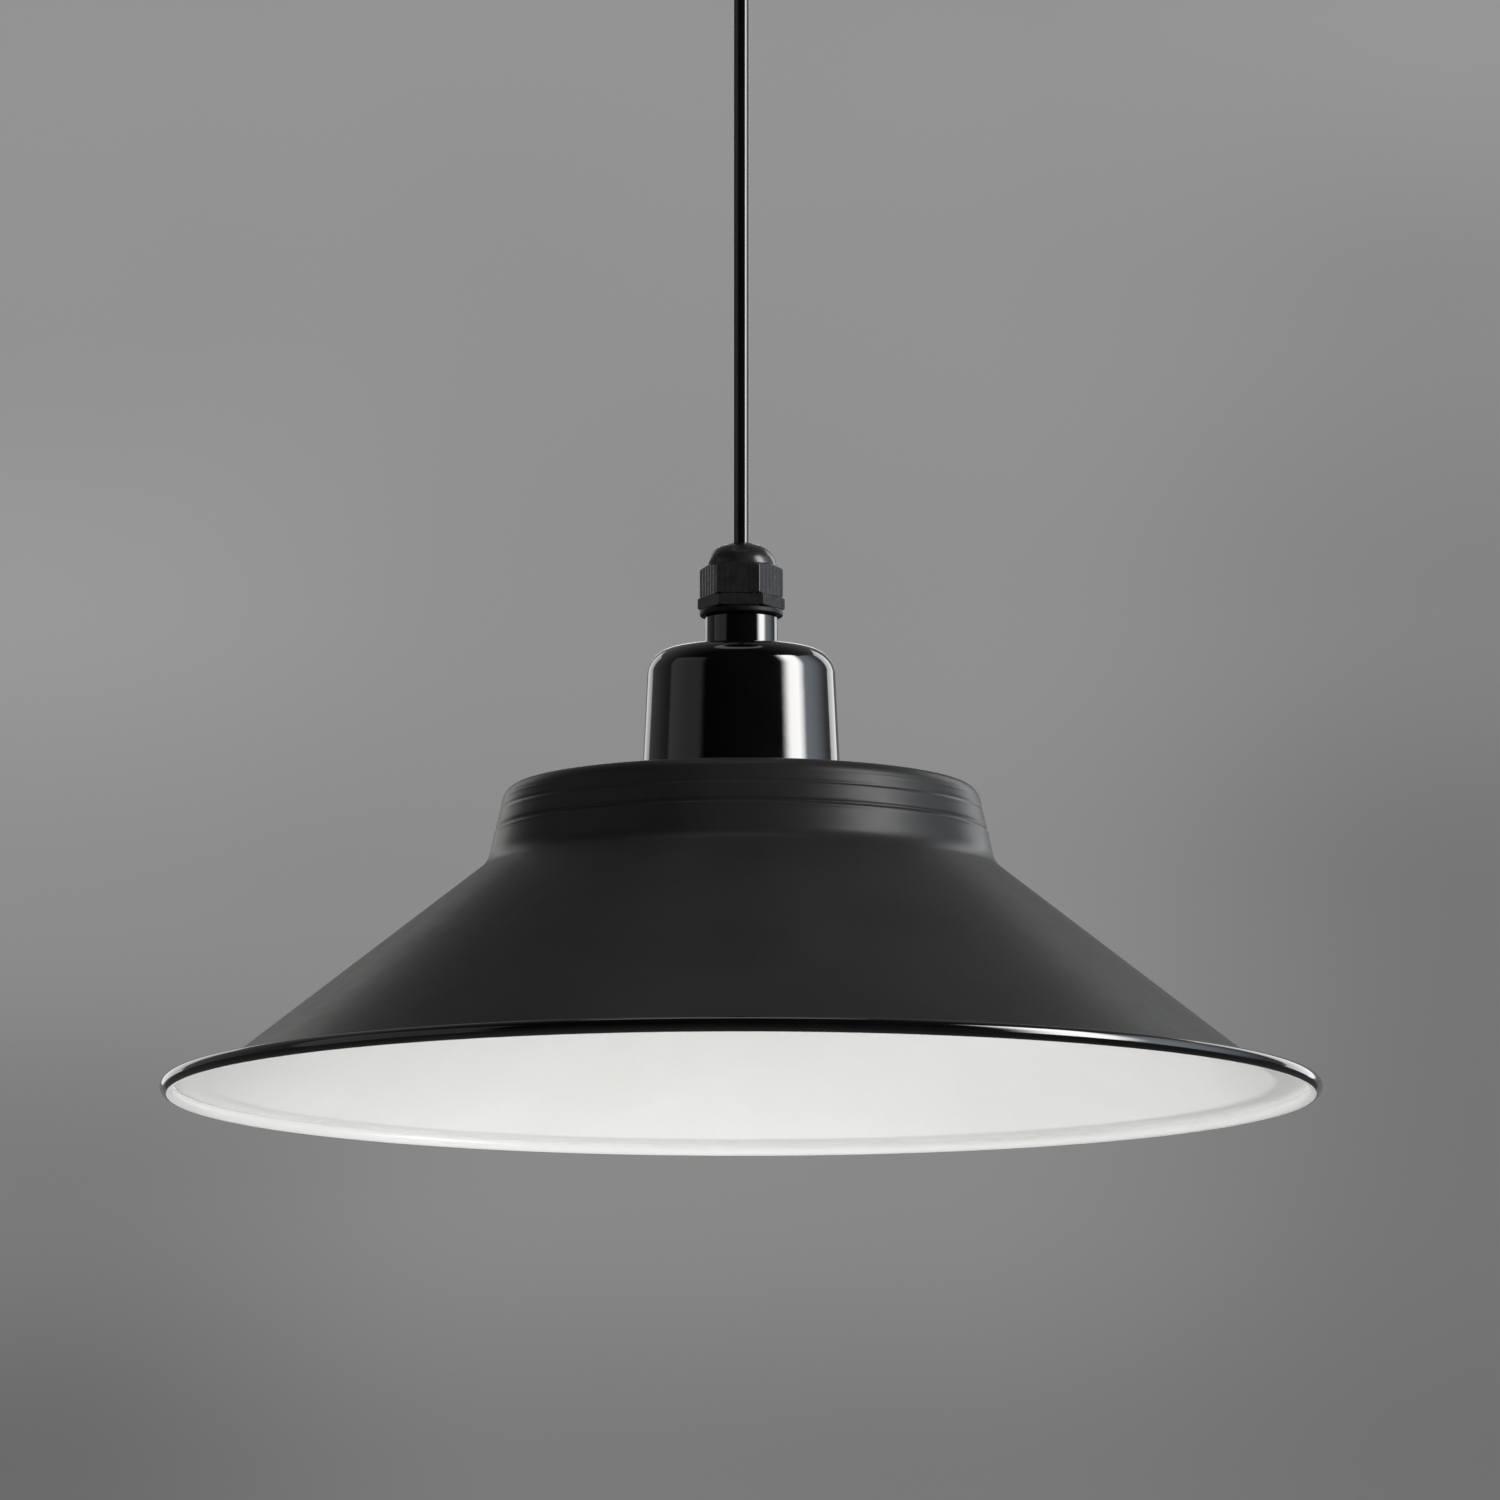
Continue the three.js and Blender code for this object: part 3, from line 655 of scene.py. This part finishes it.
def nut_inside():
    roof = NUT["crown"] - NUT["roof"]
    return [
        (SEAL["lip_r"] + 0.4, NUT["crown"]),
        (SEAL["lip_r"] + 0.4, roof),
        (CLAW["bore"], roof - 1.2),
        (CLAW["r"] + 0.5, CLAW["top"] + 0.6),
        (CLAW["r"] + 0.5, CLAW["foot"] + 1.4),
        (NUT_THREAD_R + 0.4, CLAW["foot"] + 0.4),
        (NUT_THREAD_R + 0.4, NUT["foot"]),
    ]


def make_dome_nut():
    outside, *chamfers = nut_outside()
    outline = [Vector(p) for p in outside + nut_inside()]
    for low, high in chamfers:
        outline = densified(outline, CHAMFER_CUT, low, high)
    shape = hexagon(NUT["corner"], -90 + NUT["turn"], NUT["foot"], NUT["top"] + 0.3, 0.5, 0.05)
    nut = lathe("gland_dome_nut", outline, LOOKS["nylon_black"], NUT_SIDES, RIM, shape)
    place(nut, "gland_nut", "gland_nut")


def make_seal():
    lip = rounded([
        (SEAL["r"], SEAL["foot"]),
        (SEAL["r"], SEAL["shoulder"], 0.4),
        (SEAL["lip_r"], SEAL["lip"], 0.4),
        (SEAL["lip_r"], NUT["crown"] + 0.4, 0.3),
        (SEAL["bore"], NUT["crown"] + 0.6, 0.2),
        (SEAL["bore"], SEAL["foot"]),
    ])
    seal = lathe("gland_seal_lip", lip, LOOKS["rubber_black"], SMALL, RIM)
    place(seal, "gland_seal", "gland_seal")


def make_gland_body():
    over, foot, top = FLANGE["corner"] + 0.3, FLANGE["foot"], FLANGE["top"]
    body = [Vector(p) for p in (
        (STEM_R, STEM_FOOT),
        (STEM_R, foot),
        (over - 0.9, foot),
        (over, foot + 0.4),
        (over, top - 0.4),
        (over - 0.9, top),
        (NUT_THREAD_R, top),
        (NUT_THREAD_R, CLAW["foot"]),
        (CLAW["r"], CLAW["foot"] + 1),
        (CLAW["r"], CLAW["top"]),
        (CLAW["bore"], CLAW["top"]),
        (CLAW["bore"], STEM_FOOT),
    )]
    body = densified(body, CHAMFER_CUT, foot - 0.01, CLAW["foot"])
    hexed = hexagon(FLANGE["corner"], FLANGE["turn"], foot, top, 0.4)

    def shape(radii, turns, height):
        radii = hexed(radii, turns, height)
        threaded = top + 0.2 < height < CLAW["foot"] - 0.2 and radii[0] > NUT_THREAD_R - 0.1
        if not threaded:
            return radii
        return radii + GLAND_THREAD_DEPTH * np.cos(2 * math.pi * height / GLAND_PITCH - turns)

    gland = lathe("gland_threaded_body", body, LOOKS["nylon_black"], FLANGE_SIDES, RIM, shape)
    place(gland, "lamp", "gland_body")


make_cap()
make_neck()
make_dome_nut()
make_seal()
make_gland_body()


# ---- the lampholder, its ring and the bulb ----
THREAD_FADE = 1.5  # height over which a thread grows to its full depth


def thread(base_r, low, high, pitch, depth):
    """Radius rule for lathe(): a round thread on surfaces outside base_r, fading in and out at its ends."""
    def shape(radii, turns, height):
        if radii[0] < base_r or not low < height < high:
            return radii
        ends = min(1.0, (height - low) / THREAD_FADE, (high - height) / THREAD_FADE)
        return radii + depth * ends * np.cos(2 * math.pi * height / pitch - turns)

    return shape


HOLDER = {"mouth": 74.0, "skirt_r": 19.2, "flange_r": 25.0, "flange_foot": CROWN_TOP[1] + GAP,
          "join": 100.5, "bore": 15.0}
SKIRT_PITCH = 3.0
RING = {"r": 28.5, "bore": 19.8, "foot": 91.0, "top": CROWN_TOP[1] - SHEET - GAP}
RING_RIBS = 40
RIB_DEPTH = 0.7
BULB = {"globe_r": 22.5, "wall": 1.0, "neck_r": 12.4, "base_foot": 78.7, "base_top": 97.7, "base_r": 13.0,
        "insulator_top": 102.6, "tip": 104.2}
BULB_PITCH = 3.6


def make_holder():
    mouth, r, foot = HOLDER["mouth"], HOLDER["skirt_r"], HOLDER["flange_foot"]
    skirt = rounded([
        (r, mouth, 0.6),
        (r, foot),
        (HOLDER["flange_r"], foot, 0.5),
        (HOLDER["flange_r"], HOLDER["join"], 0.5),
        (HOLDER["bore"], HOLDER["join"]),
        (HOLDER["bore"], mouth, 0.4),
    ])
    skirt = densified(skirt, 0.3, mouth, foot)
    rule = thread(r - 0.2, mouth + 1.5, foot - 0.8, SKIRT_PITCH, 0.25)
    piece = lathe("holder_threaded_skirt", skirt, LOOKS["bakelite_black"], MEDIUM, RIM, rule)
    place(piece, "lamp", "holder_skirt")


def make_shade_ring():
    def ribs(radii, turns, height):
        if radii[0] < RING["r"] - 1.5:
            return radii
        return radii + RIB_DEPTH / 2 * (np.cos(RING_RIBS * turns) - 1)

    ring = rounded([
        (RING["r"], RING["foot"], 0.9),
        (RING["r"], RING["top"], 0.5),
        (RING["bore"], RING["top"]),
        (RING["bore"], RING["foot"], 0.6),
    ])
    piece = lathe("shade_clamp_ring", ring, LOOKS["bakelite_black"], 12 * RING_RIBS, RIM, ribs)
    place(piece, "lamp", "shade_ring")


def make_bulb_glass():
    low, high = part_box("bulb_glass")
    globe_r, neck_r = BULB["globe_r"], BULB["neck_r"]
    centre = low.z / MM - RIM + globe_r
    turns = [math.radians(-90 + 140 * k / 40) for k in range(41)]
    globe = [Vector((globe_r * math.cos(turn), centre + globe_r * math.sin(turn))) for turn in turns]
    globe[0].x = 0.0
    neck = rounded([
        tuple(globe[-1]),
        (neck_r + 0.5, centre + 20.4, 6.0),
        (neck_r, centre + 24.0),
        (neck_r, high.z / MM - RIM),
    ], closed=False)
    outer = globe + neck[1:]
    inner = beside(outer, BULB["wall"])
    inner[0] = Vector((0.0, inner[0].y))
    glass = lathe("bulb_opal_globe", outer + inner[::-1], LOOKS["opal_glass"], MEDIUM, RIM)
    place(glass, "bulb", "bulb_glass")


def make_bulb_base():
    r, foot, top, glass_top = BULB["base_r"], BULB["base_foot"], BULB["base_top"], BULB["insulator_top"]
    cap = rounded([
        (r, foot, 0.2),
        (r, top - 2, 0.8),
        (r - 1.3, top, 0.3),
        (r - 2.1, top),
        (r - 1, top - 2),
        (r - 1, foot),
    ])
    cap = densified(cap, 0.25, foot, top - 0.7)
    rule = thread(r - 0.5, foot + 2.8, top - 2.2, BULB_PITCH, 0.35)
    piece = lathe("bulb_screw_cap", cap, LOOKS["bulb_cap_metal"], MEDIUM, RIM, rule)
    place(piece, "bulb", "bulb_base")
    glass = rounded([
        (0.0, top + GAP),
        (11.4, top + GAP, 0.6),
        (6.0, glass_top, 0.5),
        (0.0, glass_top),
    ], closed=False)
    piece = lathe("bulb_glass_insulator", glass, LOOKS["glass_black"], SMALL, RIM)
    place(piece, "bulb", "bulb_insulator")
    button = rounded([
        (0.0, glass_top + GAP),
        (4.6, glass_top + GAP, 0.2),
        (3.4, BULB["tip"] - 0.3, 0.5),
        (0.0, BULB["tip"]),
    ], closed=False)
    piece = lathe("bulb_tip_contact", button, LOOKS["brass"], SMALL, RIM)
    place(piece, "bulb_tip", "bulb_contact")


make_holder()
make_shade_ring()
make_bulb_glass()
make_bulb_base()


# ---- the ceiling rose, in heights below the ceiling ----
CANOPY = {"r": 50.0, "edge": -0.5, "foot": -26.0, "corner": 7.0, "hole_r": 5.4, "screw_z": -9.0}
CANOPY_SCREW = {"shank_r": 1.7, "head_r": 3.6, "long": 7.0, "head": 2.2}
CROSS = {"wide": 0.9, "long": 4.2, "deep": 0.9}
GRIP = {"stem_r": 4.9, "stem_top": -17.0, "collar_r": 11.0, "collar_foot": -29.0,
        "collar_top": CANOPY["foot"] - GAP, "r": 8.9, "mouth": -46.0, "mouth_r": 7.5,
        "throat_r": 2.95, "throat": -34.0}
FLUTES = 16
FLUTE_DEPTH = 0.22


def make_canopy():
    outer = rounded([
        (CANOPY["hole_r"], CANOPY["foot"]),
        (CANOPY["r"] - 0.6, CANOPY["foot"], CANOPY["corner"]),
        (CANOPY["r"], CANOPY["edge"]),
    ], closed=False, step=4.0)
    cup = lathe("canopy_cup", outer + beside(outer, SHEET)[::-1], LOOKS["gloss_black"], FINE)
    place(cup, "rose", "canopy")


def make_canopy_screw(name, side):
    """A pan head screw with a cross recess, turned on the vertical axis and laid along X."""
    shank_r, head_r, long, head = (CANOPY_SCREW[key] for key in ("shank_r", "head_r", "long", "head"))
    outline = rounded([
        (0.0, -long),
        (shank_r, -long),
        (shank_r, 0.0),
        (head_r, 0.0, 0.2),
        (head_r, 0.8, 0.5),
        (2.3, head - 0.1, 0.9),
        (0.0, head),
    ], closed=False)
    screw = lathe(f"canopy_cross_screw_{name}", outline, LOOKS["zinc_steel"], SMALL)
    wide, slot, deep = CROSS["wide"], CROSS["long"], 2 * CROSS["deep"]
    carve(screw, [((0, 0, head), (wide, slot, deep)), ((0, 0, head), (slot, wide, deep))])
    x, y, z = np.array([v.co for v in screw.data.vertices]).T
    seat = side * (CANOPY["r"] + GAP) * MM
    laid = np.column_stack((side * z + seat, -side * y, x + CANOPY["screw_z"] * MM))
    screw.data.vertices.foreach_set("co", laid.ravel())
    screw.data.update()
    place(screw, "rose", f"canopy_screw_{name}")


def make_grip():
    g = GRIP
    body = rounded([
        (g["r"] - 0.7, g["mouth"], 0.4),
        (g["r"], g["mouth"] + 0.8, 0.5),
        (g["r"] - 0.8, g["collar_foot"] - 2, 2.0),
        (g["r"] + 0.2, g["collar_foot"] - 0.4),
        (g["collar_r"], g["collar_foot"], 0.4),
        (g["collar_r"], g["collar_top"], 0.3),
        (g["stem_r"], g["collar_top"]),
        (g["stem_r"], g["stem_top"], 0.4),
        (g["throat_r"], g["stem_top"]),
        (g["throat_r"], g["throat"], 3.0),
        (g["mouth_r"], g["mouth"], 0.5),
    ])
    body = densified(body, 0.8, g["mouth"], g["stem_top"])

    def flutes(radii, turns, height):
        if height > g["collar_foot"] - 3 or height < g["mouth"] + 2 or radii[0] < g["r"] - 1:
            return radii
        return radii - FLUTE_DEPTH * np.maximum(np.cos(FLUTES * turns), 0.0)

    grip = lathe("cord_grip_moulding", body, LOOKS["nylon_black"], 16 * FLUTES, 0.0, flutes)
    place(grip, "rose", "cord_grip")


make_canopy()
make_canopy_screw("left", -1)
make_canopy_screw("right", 1)
make_grip()


# ---- wires ----
WIRE_R = 1.0
WIRE_SIDES = 24
WIRE_STEPS = 8  # between two points of a route
WIRE_LOOKS = {"live": "wire_brown", "neutral": "wire_blue", "earth": "wire_green_yellow"}
SHEATH_FOOT = STEM_FOOT - 1.5  # where the cord's sheath ends below the gland's stem
HOLDER_SCREW_Z = 118.9
BLOCK = {"inner": 13.0, "pitch": 9.0, "wire_z": -6.9}  # the terminal block's inner side and its wires
TAIL_TOP = -13.5  # where the cord's sheath ends in the canopy


def wire(node, body, points, look, base=0.0):
    route = smooth_route([(x, y, z + base) for x, y, z in points], WIRE_STEPS)
    piece = tube_along(f"{node}_insulation", route, WIRE_R * MM, LOOKS[look], WIRE_SIDES)
    place(piece, body, node)


def make_holder_wires():
    start, end = SHEATH_FOOT - GAP, HOLDER_SCREW_Z
    for name, side in (("live", 1), ("neutral", -1)):
        wire(f"holder_{name}_wire", "lamp", [
            (side * 1.25, 0.75, start),
            (side * 1.25, 0.75, start - 2),
            (side * 3.4, -1.5, end + 2.2),
            (side * 6.4, -1.2, end),
            (side * 8, 3.0, end),
        ], WIRE_LOOKS[name], RIM)
    wire("holder_earth_wire", "lamp", [
        (0, -1.25, start),
        (0.5, -1.55, start - 2),
        (5, -4, start - 3.6),
        (10, -4.4, start - 2.6),
        (14.9, -4, start - 1.8),
    ], WIRE_LOOKS["earth"], RIM)


def make_canopy_wires():
    inner, level, start = BLOCK["inner"], BLOCK["wire_z"], TAIL_TOP + GAP
    for k, name in enumerate(("live", "earth", "neutral")):
        y = (k - 1) * BLOCK["pitch"]
        turn = math.radians(120 * (k - 1))
        x0, y0 = 1.3 * math.cos(turn), 1.3 * math.sin(turn)
        wire(f"canopy_{name}_wire", "rose", [
            (x0, y0, start),
            (x0 * 1.6, y0 * 1.4, start + 2.7),
            (inner * 0.36, y * 0.5, level + 0.6),
            (inner * 0.7, y * 0.95, level),
            (inner - 1, y, level),
            (inner + 2, y, level),
        ], WIRE_LOOKS[name])


make_holder_wires()
make_canopy_wires()


# ---- CAD nodes that stay: a finish each, and bevels on the pressed and moulded ones ----
BEVELS = {"ceiling_bracket": 0.25, "terminal_block": 0.5, "holder_bridge": 0.2, "gland_lock_nut": 0.3,
          "cord_grip_nut": 0.3, "holder_body": 0.4}
BLOCK_SCREWS = [f"{pole}_{end}_screw" for pole in ("live", "earth", "neutral") for end in ("mains", "lamp")]
NODE_LOOKS = {
    "zinc_steel": ["ceiling_bracket", "cord_grip_nut", "block_screw_front", "block_screw_back",
                   "holder_bridge", "bridge_screw_left", "bridge_screw_right", "gland_lock_nut"],
    "porcelain_white": ["terminal_block", "holder_body"],
    "brass": BLOCK_SCREWS + ["holder_live_screw", "holder_neutral_screw", "bridge_earth_screw", "screw_shell",
                             "centre_contact"],
    "cord_black": ["cord_upper_tail", "cord_throat", "cord_lower_tail"],
}


def finish_nodes():
    for look, names in NODE_LOOKS.items():
        for name in names:
            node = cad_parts[name]
            for slot in node.material_slots:
                slot.material = LOOKS[look]
    for name, width in BEVELS.items():
        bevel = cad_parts[name].modifiers.new("soft edges", "BEVEL")
        bevel.width = width * MM
        bevel.segments = 2
        bevel.limit_method = "ANGLE"
        bevel.angle_limit = math.radians(40)


finish_nodes()


# ---- studio ----
CENTRE_Z = RIM * MM + 0.09  # the height that the lights face, in metres
WHITE = (1.0, 1.0, 1.0)
SOFT_WHITE = (1.0, 0.99, 0.98)
WARM = (1.0, 0.99, 0.97)
COOL = (0.96, 0.98, 1.0)
BLUISH = (0.8, 0.89, 1.0)


def fade_sides(data, left, right):
    """Dims a light to nothing over the parts of its width given for its left and its right."""
    data.use_nodes = True
    nodes, links = data.node_tree.nodes, data.node_tree.links
    split = nodes.new("ShaderNodeSeparateXYZ")
    links.new(nodes.new("ShaderNodeNewGeometry").outputs["Parametric"], split.inputs["Vector"])
    ramp = nodes.new("ShaderNodeValToRGB")
    links.new(split.outputs["X"], ramp.inputs["Fac"])
    ramp.color_ramp.interpolation = "EASE"
    stops = ramp.color_ramp.elements
    stops[0].position, stops[0].color = 0.0, (0, 0, 0, 1) if left else (1, 1, 1, 1)
    stops[1].position, stops[1].color = 1.0, (0, 0, 0, 1) if right else (1, 1, 1, 1)
    for position in (max(left, 0.001), min(1 - right, 0.999)):
        stops.new(position).color = (1, 1, 1, 1)
    links.new(ramp.outputs["Color"], nodes["Emission"].inputs["Strength"])


def softbox(name, azimuth, elevation, distance, width, height, radiance, colour=WHITE, fade=(0.0, 0.0)):
    """A soft light at an azimuth (0 is the camera's side, positive to its right) that faces the lamp."""
    data = bpy.data.lights.new(name, "AREA")
    data.shape = "RECTANGLE"
    data.size, data.size_y = width, height
    data.energy = radiance * math.pi * width * height
    data.color = colour
    a, e = math.radians(azimuth), math.radians(elevation)
    toward = Vector((math.sin(a) * math.cos(e), -math.cos(a) * math.cos(e), math.sin(e)))
    light = bpy.data.objects.new(name, data)
    light.location = Vector((0, 0, CENTRE_Z)) + toward * distance
    light.rotation_euler = toward.to_track_quat("Z", "Y").to_euler()
    light.visible_camera = False
    bpy.context.scene.collection.objects.link(light)
    if any(fade):
        fade_sides(data, *fade)
    return light


def make_lights():
    softbox("key_strip", 67, 14, 2.0, 1.3, 2.3, 22.0, SOFT_WHITE, (0.4, 0.36))
    softbox("key_spill", 102, 12, 2.0, 1.7, 2.2, 3.0, BLUISH, (0.0, 0.95))
    softbox("left_panel", -71, 8, 2.2, 2.2, 2.4, 0.44, WHITE, (0.1, 0.2))
    softbox("rim_left", -150, 12, 2.4, 1.0, 1.5, 1.4, WARM, (0.1, 0.1))
    softbox("rim_right", 142, 14, 2.4, 1.0, 2.1, 2.6, COOL, (0.1, 0.1))
    softbox("back_glow", 180, 16.5, 2.6, 0.5, 0.6, 2.2, WARM, (0.2, 0.2))
    overhead = softbox("overhead", 0, 90, 1.6, 0.88, 0.85, 0.9)
    overhead.data.shape = "ELLIPSE"
    overhead.location.x = -0.06
    overhead.rotation_euler = (0, 0, 0)
    below = softbox("floor_bounce", -60, -55, 1.5, 2.0, 2.0, 2.15)
    front = softbox("front_fill", -25, 8, 2.6, 2.0, 1.6, 2.6)
    for fill in (below, front):
        fill.visible_glossy = False


FLOOR_REACH = 40.0
FLOOR_Z = -5.6


def make_floor():
    points = [(x * FLOOR_REACH, y * FLOOR_REACH, FLOOR_Z) for x, y in ((-1, -1), (1, -1), (1, 1), (-1, 1))]
    finish = Finish("pale_floor", (0.62, 0.62, 0.61), 0.7)
    finish.mottle(0.8, (0.58, 0.58, 0.57)).grain(30.0, 0.0005)
    floor = new_object("studio_floor", points, [(0, 1, 2, 3)], finish.material)


# Brightness of the wall behind the lamp, from low to high, at its left, middle and right
WALL_LEFT = (0.145, 0.2, 0.27, 0.31, 0.285, 0.29)
WALL_MIDDLE = (0.195, 0.245, 0.26, 0.28, 0.283, 0.293)
WALL_RIGHT = (0.168, 0.175, 0.18, 0.23, 0.262, 0.312)
WALL_SPAN = (0.0734, 0.2041)  # the directions' heights that the levels span
WALL_FLAT = 0.018  # sideways reach of the middle's levels
WALL_REACH = 0.066  # where the sides' levels begin
WALL_CLOUDS = 0.006
LIT_FRONT = 0.008  # brightness of the walls that light the lamp, in front of it and behind it
LIT_BEHIND = 0.24
LIT_SPAN = (-0.35, 0.5)  # the directions' depths between those two


def make_world():
    """Grey studio walls: the camera sees them with soft falls of light; the lamp sees them dark in front."""
    world = bpy.data.worlds.new("studio")
    bpy.context.scene.world = world
    world.use_nodes = True
    tree = world.node_tree
    nodes, links = tree.nodes, tree.links
    direction = nodes.new("ShaderNodeTexCoord").outputs["Generated"]
    split = nodes.new("ShaderNodeSeparateXYZ")
    links.new(direction, split.inputs["Vector"])

    def mixed(factor, a, b):
        node = nodes.new("ShaderNodeMix")
        for value, name in ((factor, "Factor"), (a, "A"), (b, "B")):
            links.new(value, node.inputs[name])
        return node.outputs["Result"]

    def graded(levels):
        ramp = nodes.new("ShaderNodeValToRGB")
        ramp.color_ramp.interpolation = "EASE"
        links.new(mapped(tree, split.outputs["Z"], *WALL_SPAN, 0.0, 1.0), ramp.inputs["Fac"])
        stops = ramp.color_ramp.elements
        for k in range(1, len(levels) - 1):
            stops.new(k / (len(levels) - 1))
        for stop, value in zip(stops, levels):
            stop.color = (value, value, value, 1)
        return ramp.outputs["Color"]

    def toward(side):
        reach = mapped(tree, split.outputs["X"], side * WALL_FLAT, side * WALL_REACH, 0.0, 1.0)
        reach.node.interpolation_type = "SMOOTHSTEP"
        return reach

    wall = mixed(toward(-1), graded(WALL_MIDDLE), graded(WALL_LEFT))
    wall = mixed(toward(1), wall, graded(WALL_RIGHT))
    noise = nodes.new("ShaderNodeTexNoise")
    noise.inputs["Scale"].default_value = 22.0
    noise.inputs["Detail"].default_value = 1.0
    links.new(direction, noise.inputs["Vector"])
    clouds = mapped(tree, noise.outputs["Fac"], 0.3, 0.7, -WALL_CLOUDS, WALL_CLOUDS)
    seen = nodes.new("ShaderNodeMath")
    seen.operation = "ADD"
    links.new(wall, seen.inputs[0])
    links.new(clouds, seen.inputs[1])
    lit = mapped(tree, split.outputs["Y"], *LIT_SPAN, LIT_FRONT, LIT_BEHIND)
    by_camera = nodes.new("ShaderNodeLightPath").outputs["Is Camera Ray"]
    strength = mixed(by_camera, lit, seen.outputs["Value"])
    links.new(strength, nodes["Background"].inputs["Strength"])
    nodes["Background"].inputs["Color"].default_value = (1.0, 1.0, 0.995, 1.0)


make_lights()
make_floor()
make_world()
bpy.context.scene.view_settings.view_transform = "Standard"
